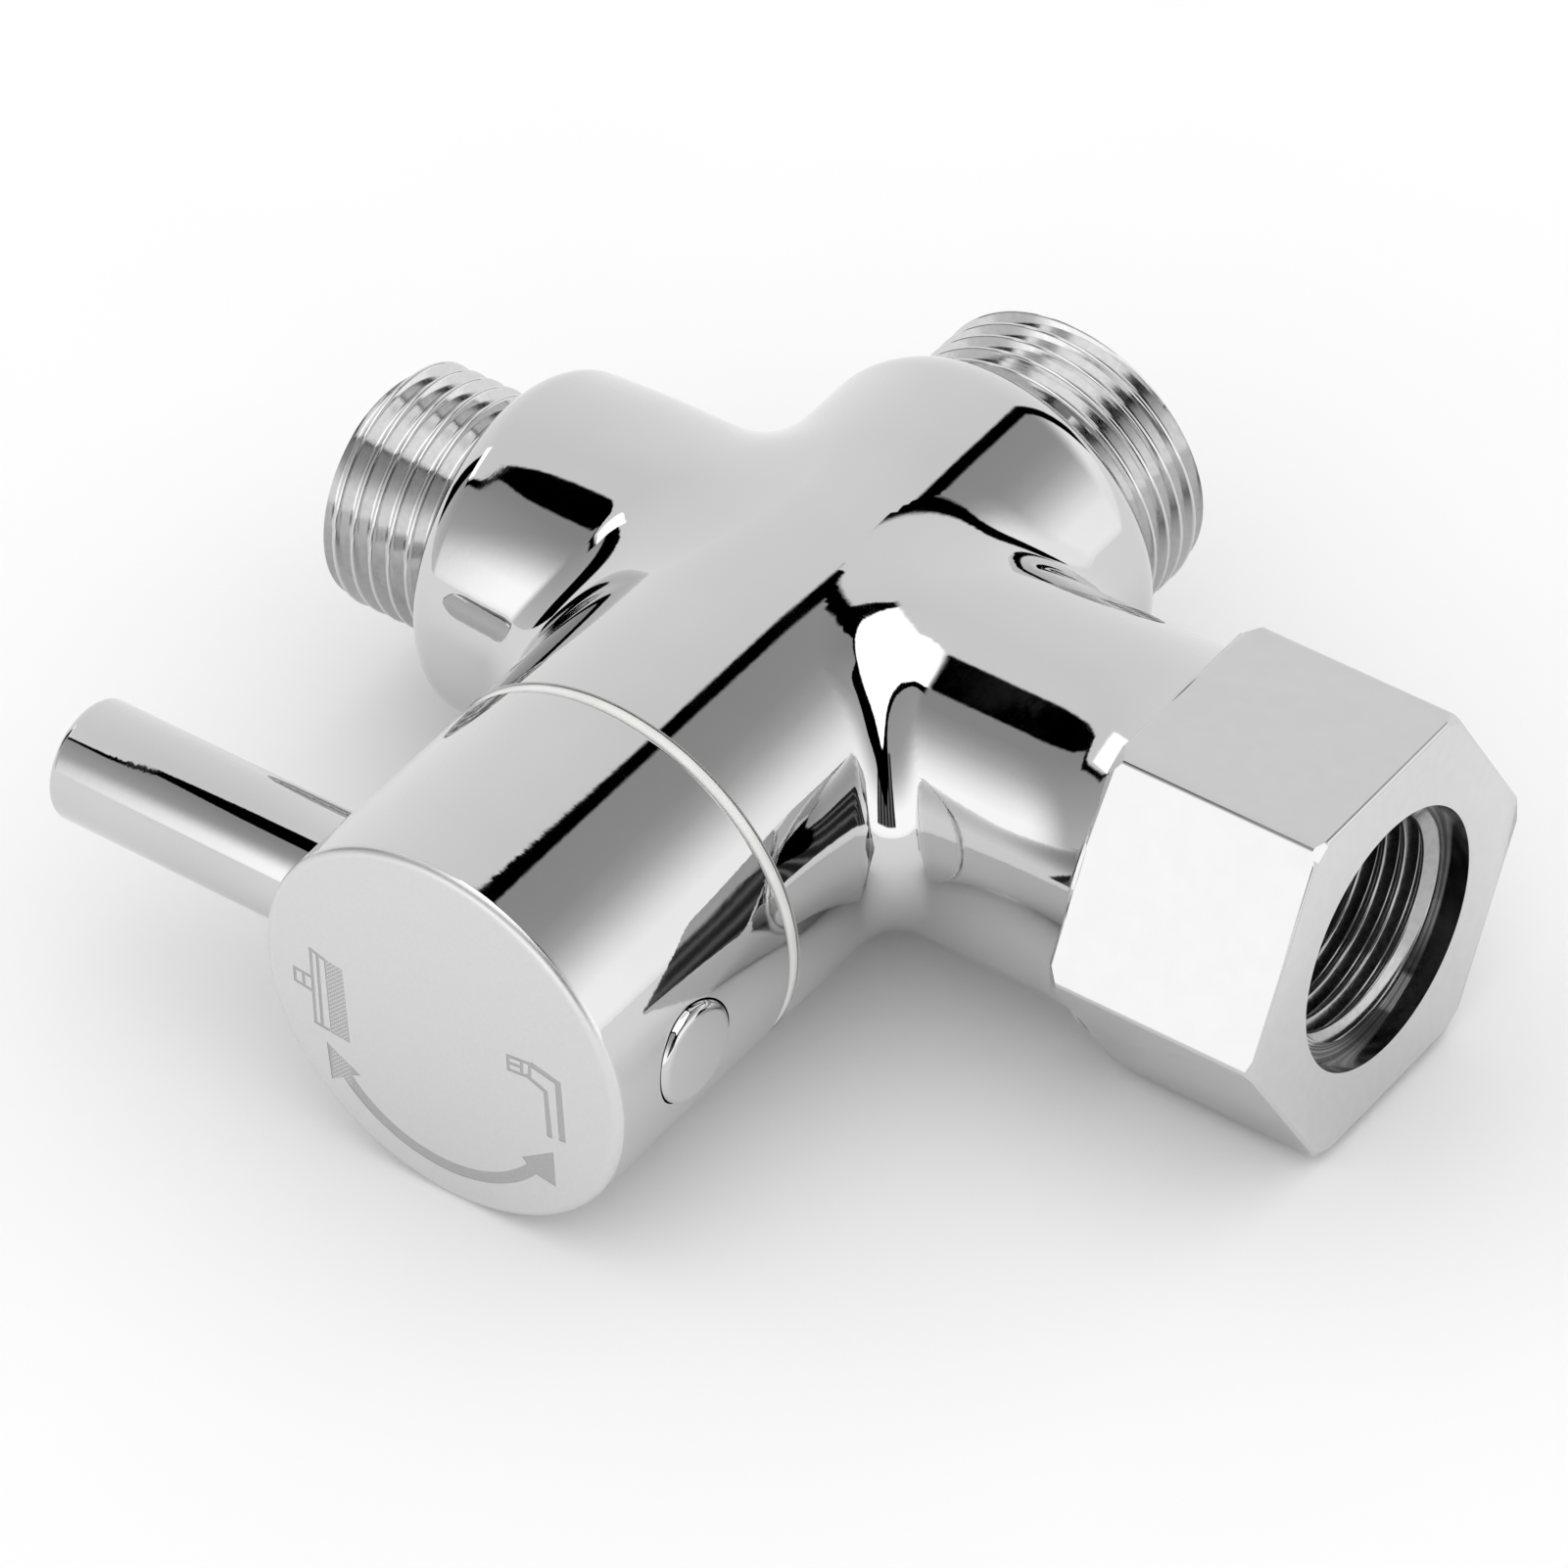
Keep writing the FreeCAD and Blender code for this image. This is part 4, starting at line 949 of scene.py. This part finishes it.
# %% A socket that can be calculated with
class Wire:
    """A socket in a node tree, or only the tree when the socket is left out."""

    def __init__(self, tree, socket=None):
        self.tree = tree
        self.socket = socket

    def node(self, kind, settings=None, sockets=None, output=0):
        """Adds a node: first its settings, then values or links for its sockets."""
        node = self.tree.nodes.new(kind)
        for name, value in (settings or {}).items():
            if name == "stops":
                stops = node.color_ramp.elements
                while len(stops) < len(value):
                    stops.new(0.5)
                for stop, (position, level) in zip(stops, value):
                    stop.position = position
                    stop.color = (level, level, level, 1)
            else:
                setattr(node, name, value)
        for name, value in (sockets or {}).items():
            if isinstance(value, Wire):
                self.tree.links.new(value.socket, node.inputs[name])
            else:
                node.inputs[name].default_value = value
        return Wire(self.tree, node.outputs[output]) if node.outputs else None

    def maths(self, operation, *values):
        return self.node("ShaderNodeMath", {"operation": operation}, dict(enumerate(values)))

    def __abs__(self):
        return self.maths("ABSOLUTE", self)

    def __add__(self, other):
        return self.maths("ADD", self, other)

    def __radd__(self, other):
        return self.maths("ADD", other, self)

    def __sub__(self, other):
        return self.maths("SUBTRACT", self, other)

    def __rsub__(self, other):
        return self.maths("SUBTRACT", other, self)

    def __mul__(self, other):
        return self.maths("MULTIPLY", self, other)

    def __rmul__(self, other):
        return self.maths("MULTIPLY", other, self)

    def rise(self, start, end):
        """A mask that rises smoothly from 0 to 1 between two values."""
        settings = {"interpolation_type": "SMOOTHSTEP"}
        return self.node("ShaderNodeMapRange", settings, {"Value": self, "From Min": start, "From Max": end})

    def band(self, start, end, soft):
        """A mask that is 1 between two values, with soft edges outside them."""
        return self.rise(start - soft, start) * (1 - self.rise(end, end + soft))

    def blend(self, first, second):
        """Goes from one value to another as this mask goes from 0 to 1."""
        return first + self * (second - first)

    def tint(self, first, second):
        """Goes from one colour to another as this mask goes from 0 to 1."""
        return self.node("ShaderNodeMix", {"data_type": "RGBA"}, {0: self, 6: first, 7: second}, output=2)

    def parts(self):
        """The three parts of a vector."""
        return [self.node("ShaderNodeSeparateXYZ", None, {"Vector": self}, index) for index in range(3)]

    def stretch(self, x, y, z):
        """A place with each of its parts multiplied."""
        return self.node("ShaderNodeVectorMath", {"operation": "MULTIPLY"}, {0: self, 1: (x, y, z)})

    def noise(self, scale, detail=2.0):
        """Soft random patches, from 0 to 1, as many to a metre as the scale says."""
        return self.node("ShaderNodeTexNoise", None, {"Vector": self, "Scale": scale, "Detail": detail})

    def curve(self, low, high, points, most=2.0):
        """A line through points (this value, result), with results from 0 up to the most."""
        place = self.node("ShaderNodeMapRange", None, {"Value": self, "From Min": low, "From Max": high})
        stops = [((value - low) / (high - low), level / most) for value, level in points]
        return most * self.node("ShaderNodeValToRGB", {"stops": stops}, {"Fac": place})


def grey(level):
    return (level, level, level, 1)


# %% [markdown]
# ## Finishes
#
# Chrome plate is bright nickel under a blue-white skin that sends back about six tenths of the light.
# Most of its look is in how smooth it is: mirror where it was buffed, satin on the knob's face, and
# finely ringed by the lathe on threads and faces. So the finishes share one metal and differ in
# roughness and in the fine relief that a Bump node draws from noise. The cut places differ in colour
# too: the bores are painted a darker grey and the counterbore nearly black, both painted shade, and
# the counterbore's floor carries painted bright and dark rings, a painted reflection.

# %% One maker for all finishes
def finish(name, colour, roughness, relief, height, **constants):
    """A material. Its three looks are functions of the place; constants go on the shader's sockets."""
    material = bpy.data.materials.new(name)
    material.use_nodes = True
    material.node_tree.nodes.clear()
    tree = Wire(material.node_tree)
    place = tree.node("ShaderNodeTexCoord", output="Object")
    bump = tree.node("ShaderNodeBump", None, {"Height": relief(place), "Distance": height, "Strength": 1.0})
    sockets = {"Base Color": colour(place), "Roughness": roughness(place), "Normal": bump}
    sockets.update({socket.replace("_", " "): value for socket, value in constants.items()})
    shader = tree.node("ShaderNodeBsdfPrincipled", None, sockets)
    tree.node("ShaderNodeOutputMaterial", None, {"Surface": shader})
    return material


def cloudy(dark, light, scale):
    """Two colours that drift into each other."""
    return lambda place: place.noise(scale).rise(0.3, 0.7).tint(dark, light)


def patchy(smooth, rough, scale):
    """A roughness that drifts between two values."""
    return lambda place: place.noise(scale, 3.0).rise(0.3, 0.7).blend(smooth, rough)


def rings(x, y, z, fine=9000, coarse=90):
    """The lathe's fine rings: noise that is very fine along the given axis and long across it."""
    scales = [fine if along else coarse for along in (x, y, z)]
    return lambda place: place.stretch(*scales).noise(1.0, 3.0)


def grain(scale, detail=2.0):
    return lambda place: place.noise(scale, detail)


# %% The finishes of the chromed pieces
CHROME = 0.62
DRIFT = 0.012
mirror = finish("chrome_mirror", cloudy(grey(CHROME - DRIFT), grey(CHROME + DRIFT), 60),
                patchy(0.012, 0.05, 240), grain(1100), 2.2e-6, Metallic=1.0)
satin = finish("chrome_satin", cloudy(grey(0.705), grey(0.72), 2600), patchy(0.36, 0.4, 3000),
               grain(9000, 3.0), 6e-6, Metallic=1.0)
thread_look = (cloudy(grey(0.63), grey(0.67), 1600), patchy(0.09, 0.14, 2400))
THREAD_FINE = 5000
THREAD_COARSE = 40
threads_x = finish("thread_chrome_side", *thread_look, rings(1, 0, 0, THREAD_FINE, THREAD_COARSE), 4.5e-6,
                   Metallic=1.0)
threads_y = finish("thread_chrome_rear", *thread_look, rings(0, 1, 0, THREAD_FINE, THREAD_COARSE), 4.5e-6,
                   Metallic=1.0)
ground = finish("hexagon_chrome", cloudy(grey(0.61), grey(0.622), 500), patchy(0.07, 0.09, 900),
                lambda place: place.stretch(120, 3000, 3000).noise(1.0, 3.0), 1.6e-6, Metallic=1.0)
# Painted shade: the bores, the knob's inside and its drilled holes are a darker grey than the plate outside.
bored = finish("bored_chrome_painted_shade", cloudy(grey(0.4), grey(0.45), 1500), patchy(0.16, 0.22, 2600),
               rings(1, 0, 0), 6e-6, Metallic=1.0)
# Painted shade: the counterbore is painted nearly black.
counterbore_painted_shade = finish("counterbore_painted_shade_chrome", cloudy(grey(0.17), grey(0.2), 900), patchy(0.1, 0.14, 1600),
                      rings(1, 0, 0, 7000), 2.5e-6, Metallic=1.0)


def circles(place, fine, detail):
    """Noise in circles about the inlet's axis, as a facing cut leaves them."""
    _, y, z = place.parts()
    off_axis = place.maths("SQRT", y * y + z * z)
    return place.node("ShaderNodeCombineXYZ", None, {"X": off_axis}).stretch(fine, 1, 1).noise(1.0, detail)


def facing_rings(place):
    return circles(place, 7000, 3.0)


def painted_ring_reflection(place):
    """Painted reflection: bright and dark circles on the counterbore's floor, as its turned rings would
    reflect the room.
    """
    return circles(place, 4200, 2.0).rise(0.4, 0.6).tint(grey(0.14), grey(0.72))


faced = finish("faced_chrome", cloudy(grey(0.66), grey(0.68), 900), patchy(0.14, 0.17, 1500), facing_rings,
               3e-6, Metallic=1.0)
# The counterbore's floor: painted bright and dark rings in its colour, a painted reflection, over real
# facing rings in its relief.
ringed = finish("counterbore_floor_painted_rings", painted_ring_reflection, patchy(0.1, 0.14, 1500), facing_rings, 5e-6,
                Metallic=1.0)
chromes = (mirror, satin, threads_x, threads_y, ground, bored, counterbore_painted_shade, faced, ringed)
print("chrome finishes:", [each.name for each in chromes])

# %% [markdown]
# The etched marks are duller and a little darker than the face round them. The spray of the shower head
# is a field of fine dots, so its mask is a product of two waves, kept to that part of the mark.

# %% The etched marks
DOT_WAVE = 0.42 * mm
RADIANS_PER_METRE = math.tau / DOT_WAVE
SPRAY_INSET = 0.05


def etched_colour(place):
    """Dull grey, with lighter dots where the spray is."""
    x, _, z = place.parts()
    spray_from = crossing.x + (SPRAY_LEFT + SPRAY_INSET) * mm
    in_spray = x.band(spray_from, crossing.x + HEAD_RIGHT * mm, 0.02 * mm)
    wave_x = place.maths("SINE", x * RADIANS_PER_METRE)
    wave_z = place.maths("SINE", z * RADIANS_PER_METRE)
    dots = (wave_x * wave_z).rise(0.1, 0.5) * in_spray
    mottled = place.noise(6000).rise(0.3, 0.7).blend(0, 0.3)
    return (dots + mottled).rise(0, 1.2).tint(grey(0.47), grey(0.7))


etched = finish("etched_chrome", etched_colour, patchy(0.42, 0.5, 2000), grain(12000, 3.0), 6e-6,
                Metallic=1.0)


# %% [markdown]
# One casting carries several finishes, as the real one does, so its faces are sorted by place: threads,
# the hexagon's flats and its front, and everything that a drill has cut.

# %% Faces by place, and a finish for each zone
def faces_of(obj):
    """Middles of the faces, in millimetres from the crossing, and their directions."""
    middles = np.empty(len(obj.data.polygons) * 3)
    outwards = np.empty(len(obj.data.polygons) * 3)
    obj.data.polygons.foreach_get("center", middles)
    obj.data.polygons.foreach_get("normal", outwards)
    return (middles.reshape(-1, 3) - np.array(crossing)) / mm, outwards.reshape(-1, 3)


def dress(obj, base, *zones):
    """Gives a piece its base finish, and each zone's faces their own."""
    obj.data.materials.clear()
    chosen = np.zeros(len(obj.data.polygons), np.int32)
    obj.data.materials.append(base)
    for index, (material, faces) in enumerate(zones):
        obj.data.materials.append(material)
        chosen[faces] = index + 1
    obj.data.polygons.foreach_set("material_index", chosen)
    obj.data.update()
    print(obj.name, "faces of each finish:", np.bincount(chosen).tolist())


# %% The casting's zones: its square ends
TOUCHING = 0.01
NEAR = 0.05
SQUARE = 0.99
middles, outwards = faces_of(casting)
x, y, z = middles.T
out_x, out_y, _ = outwards.T
off_x = np.hypot(y, z)
off_y = np.hypot(x, z)
hexagon_front = (x > face - TOUCHING) & (out_x > SQUARE)
side_mouth = (x < left_end + TOUCHING) & (out_x < -SQUARE)
rear_mouth = (y > rear_end - TOUCHING) & (out_y > SQUARE)
barrel_mouth = (y < front + TOUCHING) & (out_y < -SQUARE)

# %% The casting's zones: the hexagon, the threads and the bores
PAST_COVE = 0.4
IN_LEFT_ARM = -10.0
GLAND_STEP = 1.2
side_end = left_boss_end / mm
boss_end = rear_boss_end / mm
on_hexagon = (x > hex_back / mm + PAST_COVE) & (off_x > COUNTERBORE + NEAR)
in_counterbore = (x > thread_top - TOUCHING) & (off_x < COUNTERBORE + NEAR)
counterbore_floor = in_counterbore & (out_x > SQUARE)
in_inlet = (x > WALL_X) & (off_x < COUNTERBORE + NEAR)
in_side_bore = (x < IN_LEFT_ARM) & (off_x < LEFT_BORE + NEAR)
in_barrel = (y < REAR_CHANNEL + 2 * NEAR) & (off_y < RECESS + 2 * NEAR)
in_barrel &= np.abs(out_y) + off_y < RECESS + 4 * NEAR
in_barrel &= (off_y < CHAMBER + GLAND_STEP) | (y < front + RECESS_DEPTH + NEAR)
in_rear_bore = (y > REAR_CHANNEL - 2 * NEAR) & (off_y < REAR_BORE + NEAR)
side_turns = (x < -side_end - 2 * TOUCHING) & (off_x > LEFT_BORE + NEAR)
rear_turns = (y > boss_end + 2 * TOUCHING) & (off_y > REAR_BORE + NEAR)
dress(
    casting, mirror,
    (ground, on_hexagon),
    (bored, in_inlet | in_side_bore | in_barrel | in_rear_bore),
    (counterbore_painted_shade, in_counterbore),
    (ringed, counterbore_floor),
    (threads_x, side_mouth | side_turns),
    (threads_y, rear_mouth | rear_turns),
    (faced, hexagon_front | barrel_mouth),
)

# %% The knob, the lever and the plug
middles, outwards = faces_of(knob)
x, y, z = middles.T
off_y = np.hypot(x, z)
SATIN_RADIUS = knob_radius - KNOB_EDGE + TOUCHING
MARKS_RADIUS = SATIN_RADIUS - 0.5
SATIN_EDGE = 0.6
SPLINE_DEPTH = 1.5
on_face = (y < knob_face + ETCH / 2) & (off_y < SATIN_RADIUS)
on_face |= (y < knob_face + SATIN_EDGE) & (outwards[:, 1] < 0)
etched_floor = (y > knob_face + ETCH / 2) & (y < knob_face + 1.5 * ETCH) & (off_y < MARKS_RADIUS)
inside = (y > INNER_FACE - SPLINE_DEPTH) & (off_y < POCKET + NEAR)
drilled = (y > knob_face + KNOB_EDGE) & (y < knob_rear - KNOB_REAR_EDGE)
drilled &= off_y < knob_radius - 2 * TOUCHING
dress(knob, mirror, (satin, on_face), (etched, etched_floor), (bored, inside | drilled))
dress(lever, mirror)
dress(plug, mirror)

# %% [markdown]
# ## Plastic, rubber, brass, steel and ceramic
#
# The pieces inside are seen when the valve is taken apart. Turned brass shows the tool's rings under a
# slight tarnish. Rubber is matt black with a bloom and a fine moulded grain. Plastic has a soft sheen
# and faint flow marks. The ceramic discs are ground flat and almost polished, with tiny pores.

# %% The other finishes
BRASS_DARK = (0.52, 0.34, 0.12, 1)
BRASS_LIGHT = (0.71, 0.49, 0.2, 1)
RUBBER_DARK = (0.018, 0.018, 0.019, 1)
RUBBER_BLOOM = (0.045, 0.045, 0.046, 1)
RING_DARK = (0.7, 0.7, 0.69, 1)
RING_LIGHT = (0.77, 0.77, 0.76, 1)
DRIVER_DARK = (0.2, 0.21, 0.22, 1)
DRIVER_LIGHT = (0.27, 0.28, 0.29, 1)
CERAMIC = (0.86, 0.85, 0.82, 1)
PORES = (0.55, 0.54, 0.52, 1)
brass = finish("turned_brass", cloudy(BRASS_DARK, BRASS_LIGHT, 260), patchy(0.2, 0.34, 700),
               rings(0, 1, 0, 6000), 1.4e-5, Metallic=1.0)
rubber = finish("moulded_rubber", cloudy(RUBBER_DARK, RUBBER_BLOOM, 700), patchy(0.55, 0.75, 900),
                grain(5000, 3.0), 1.6e-5, Specular_IOR_Level=0.35)
white_plastic = finish("white_plastic", cloudy(RING_DARK, RING_LIGHT, 300), patchy(0.3, 0.38, 800),
                       grain(2500), 1.5e-6, Coat_Weight=0.15)
grey_plastic = finish("grey_plastic", cloudy(DRIVER_DARK, DRIVER_LIGHT, 350), patchy(0.36, 0.5, 900),
                      grain(3500, 3.0), 1.2e-5)
steel = finish("spring_steel", cloudy(grey(0.4), grey(0.52), 900), patchy(0.22, 0.36, 1500),
               rings(0, 1, 0, 8000), 1.0e-5, Metallic=1.0)
black_steel = finish("black_screw_steel", cloudy(grey(0.06), grey(0.12), 1500), patchy(0.3, 0.45, 2000),
                     rings(1, 0, 0, 8000), 1.2e-5, Metallic=1.0)


def pored(place):
    """A ground ceramic: nearly white, with sparse tiny grey pores."""
    return place.noise(7000, 4.0).rise(0.68, 0.76).tint(CERAMIC, PORES)


ceramic = finish("ground_ceramic", pored, patchy(0.08, 0.18, 600), grain(8000, 3.0), 3e-6)

dress(ring, white_plastic)
inner_finishes = {
    brass: ["spindle", "cartridge_housing", "gland_nut"],
    rubber: ["inlet_washer", "seat_seal", "spindle_oring_front", "spindle_oring_rear", "housing_oring"],
    grey_plastic: ["disc_driver"],
    white_plastic: ["thrust_washer"],
    steel: ["circlip", "locating_pins"],
    black_steel: ["set_screw"],
    ceramic: ["fixed_disc", "moving_disc"],
}
for material, names in inner_finishes.items():
    for name in names:
        for place_of_finish in frame["nodes"][name].material_slots:
            place_of_finish.material = material
replaced = {"valve_body", "knob", "lever_rod", "plug_button", "glide_ring"}
dressed = {name for names in inner_finishes.values() for name in names}
print("nodes without a finish:", sorted(set(frame["nodes"]) - replaced - dressed))

# %% [markdown]
# ## The studio
#
# Chrome has almost no colour of its own: what it shows is the room. The valve stands in a white tent.
# Behind it and to its left hangs one even sheet, whose seams run along the valve's own axes. Past a
# black seam, the front of the tent is darkest at the top and glows above the table, and the camera looks
# in through a dark opening. A softbox in a black frame hangs overhead, and a small one beside it. Lamps
# and cards could do it too, but each would have to be hung by trial. Here the room is drawn by direction
# only: x, y and z say where a direction points, from -1 to 1, so every camera sees the same room.

# %% Where a direction lies in the room
bpy.context.scene.view_settings.view_transform = "Standard"
world = bpy.data.worlds.new("studio")
bpy.context.scene.world = world
world.use_nodes = True
world.node_tree.nodes.clear()
sky = Wire(world.node_tree)
direction = sky.node("ShaderNodeTexCoord", output="Generated")
x, y, z = direction.parts()
DEGREES = 180 / math.pi
around = DEGREES * sky.maths("ARCTAN2", x, 0 - y)
height = DEGREES * sky.maths("ARCSINE", z)
SEAM_OVER_BARREL = (0.9998, 0.0, 0.0185)
SEAM_OVER_ARMS = (0.0, -0.9906, -0.1365)
SEAM_CORNER = 0.1


def beyond(seam):
    """How far a direction lies on the camera's side of a straight seam of the tent."""
    sockets = {0: direction, 1: seam}
    return sky.node("ShaderNodeVectorMath", {"operation": "DOT_PRODUCT"}, sockets, output="Value")


past_seam = sky.maths("SMOOTH_MAX", beyond(SEAM_OVER_BARREL), beyond(SEAM_OVER_ARMS), SEAM_CORNER)

# %% [markdown]
# The seam isn't equally wide: it is a narrow strip over the barrel, wider over the knob, and a broad
# strip with narrow ends over the arms. So its middle and its half width over the arms are lines through
# points, each a place along the arms and a value. Short rises soften every edge a little.

# %% The black seam between the sheet and the front of the tent
SHARP = 0.005
SOFT = 0.015
ARMS_MIDDLE = [(-1, 0.06), (-0.72, 0.0), (-0.7, 0.22), (-0.59, 0.22), (-0.57, 0.03), (-0.4, 0.03),
               (-0.3, 0.0), (1, 0.0)]
ARMS_HALF = [(-1, 0.16), (-0.9, 0.12), (-0.72, 0.08), (-0.69, 0.03), (-0.61, 0.03), (-0.58, 0.06),
             (-0.53, 0.15), (-0.45, 0.19), (-0.38, 0.16), (-0.3, 0.06), (1, 0.06)]
BARREL_HALF = 0.055
WIDER_LOW_DOWN = 0.03
WIDER_OVER_KNOB = 0.1
KNOB_SHIFT = 0.06
over_arms = 1 - y.rise(0.42, 0.52)
over_knob = (1 - over_arms) * (1 - y.rise(0.53, 0.58))
seam_middle = x.curve(-1, 1, ARMS_MIDDLE) * over_arms - KNOB_SHIFT * over_knob
barrel_half = BARREL_HALF + WIDER_LOW_DOWN * (1 - height.rise(0, 40)) + WIDER_OVER_KNOB * over_knob
half_width = over_arms.blend(barrel_half, x.curve(-1, 1, ARMS_HALF))
off_seam = past_seam - seam_middle
seam = (half_width - abs(off_seam)).rise(-SOFT, SOFT)
in_front = off_seam.rise(-0.01, 0.01)


# %% The softbox overhead in its black frame, and the small one beside it
def least(first, second, soft):
    """The smaller of two values, rounded where they meet."""
    return sky.maths("SMOOTH_MIN", first, second, soft)


BOX_FRONT = -0.35
BOX_RIGHT = 0.6
BOX_BACK = 0.5
softbox = least(0.385 - 0.56 * x - 0.829 * y, y - BOX_FRONT, 0.05)
softbox = least(softbox, BOX_RIGHT - x, 0.15)
softbox = least(softbox, BOX_BACK - y, 0.1)
off_sheet = sky.maths("MAXIMUM", x + 0.265, 0.832 * x - 0.555 * y + 0.37)
overhead = x.rise(-0.44, -0.36) * off_sheet.rise(-0.01, 0.03) * (1 - y.rise(0.53, 0.54))
BOX_FRAME = 0.018
wider_frame = 0.14 * x.rise(0.35, 0.6) + 0.035 * (1 - y.rise(-0.3, -0.1)) + 0.06 * y.rise(0.38, 0.5)
framed = (softbox + BOX_FRAME + wider_frame).rise(-SHARP, SHARP) * overhead
SMALL_BOX_MIDDLE = (-0.668, -0.1)
SMALL_BOX_HALF = (0.05, 0.16)
off_x, off_y = (abs(part - middle) for part, middle in zip((x, y), SMALL_BOX_MIDDLE))
small_box = least(SMALL_BOX_HALF[0] - off_x, SMALL_BOX_HALF[1] - off_y, 0.02)
lit = sky.maths("MAXIMUM", softbox.rise(-SHARP, SHARP) * overhead, small_box.rise(-SHARP, SHARP))

# %% [markdown]
# Each part of the tent sends out light by its height above the table, in degrees: pairs of a height and
# a brightness. The camera's opening lies where the camera stands, and its dark folds are upright waves.

# %% What each part of the room sends out
SHEET = [(-90, 1.0), (0, 1.02), (40, 0.95), (55, 0.9), (90, 0.95)]
GLOW = [(-90, 1.0), (-1, 1.3), (3, 1.5), (17, 1.5), (24, 1.28), (31, 0.95), (38, 0.66), (46, 0.5),
        (60, 0.45), (90, 0.4)]
LEFT_GREY = [(-90, 0.7), (0, 0.75), (30, 0.5), (50, 0.36), (90, 0.36)]
DIMMER_AT_RIGHT = 0.2
FOLDS = 0.9
DARK = 0.03
FOLD_LIGHT = 0.2
LAMP = 1.7
sheet, glow, left_grey = (height.curve(-90, 90, points) for points in (SHEET, GLOW, LEFT_GREY))
front_tent = around.band(-30, 180, 14).blend(left_grey, glow)
front_tent = front_tent * (1 - DIMMER_AT_RIGHT * around.rise(100, 145))
strips = 0.5 + 0.5 * sky.maths("SINE", around * FOLDS)
opening = around.band(38, 76, 1.5) * height.band(9, 48, 1.5)
front_tent = opening.blend(front_tent, DARK + FOLD_LIGHT * strips * strips * strips)
room = in_front.blend(sheet, front_tent) * (1 - seam) * (1 - framed)
room = lit.blend(room, LAMP)
print("nodes of the room:", len(world.node_tree.nodes))

# %% [markdown]
# The table is matt and would show the dark seams as a stain, so matt surfaces get an even light. The
# camera itself sees a plain pale backdrop.

# %% The even light on matt surfaces, and a plain backdrop
TABLE_LIGHT = 1.1
BACKDROP = 0.97
on_matt = sky.node("ShaderNodeLightPath", output="Is Diffuse Ray")
seen_directly = sky.node("ShaderNodeLightPath", output="Is Camera Ray")
room = seen_directly.blend(on_matt.blend(room, TABLE_LIGHT), BACKDROP)
background = sky.node("ShaderNodeBackground", None, {"Color": room})
sky.node("ShaderNodeOutputWorld", None, {"Surface": background})

# %% The table
TABLE_SIZE = 6
bpy.ops.mesh.primitive_plane_add(size=TABLE_SIZE, location=(0, 0, cad_box[0].z))
table = bpy.context.object
table.name = "table"
paper = finish("white_paper", cloudy(grey(0.9), grey(0.91), 20), patchy(0.7, 0.8, 30), grain(400), 2e-6,
               Specular_IOR_Level=0.0)
table.data.materials.append(paper)
print("table", TABLE_SIZE, "m wide")

# %% [markdown]
# ## The camera
#
# The camera's place and lens were worked out from the knob's outline, the ring and the hexagon's corners
# in the photograph, which is 1601 pixels wide and high. It looks down from the front right, from almost
# a metre away with a long lens.

# %% The camera at the photograph's angle
AZIMUTH = math.radians(37.877)
ELEVATION = math.radians(42.229)
ROLL = math.radians(-2.324)
DISTANCE = 919.889 * mm
FOCAL_PIXELS = 11864.57
PHOTO_PIXELS = 1601
SENSOR = 36
AIM_RIGHT = -3.2646 * mm
AIM_UP = -8.4612 * mm
back = Vector((math.sin(AZIMUTH) * math.cos(ELEVATION), -math.cos(AZIMUTH) * math.cos(ELEVATION),
               math.sin(ELEVATION)))
right = Vector((math.cos(AZIMUTH), math.sin(AZIMUTH), 0))
up = back.cross(right)
rolled_right = right * math.cos(ROLL) + up * math.sin(ROLL)
rolled_up = up * math.cos(ROLL) - right * math.sin(ROLL)
bpy.ops.object.camera_add()
camera = bpy.context.object
turn = Matrix((rolled_right, rolled_up, back)).transposed().to_4x4()
eye = crossing + back * DISTANCE + rolled_right * AIM_RIGHT + rolled_up * AIM_UP
camera.matrix_world = Matrix.Translation(eye) @ turn
camera.data.sensor_width = SENSOR
camera.data.lens = FOCAL_PIXELS / PHOTO_PIXELS * SENSOR
camera.data.clip_start = 0.01
bpy.context.scene.camera = camera
print("camera at", list(eye), "lens", camera.data.lens)
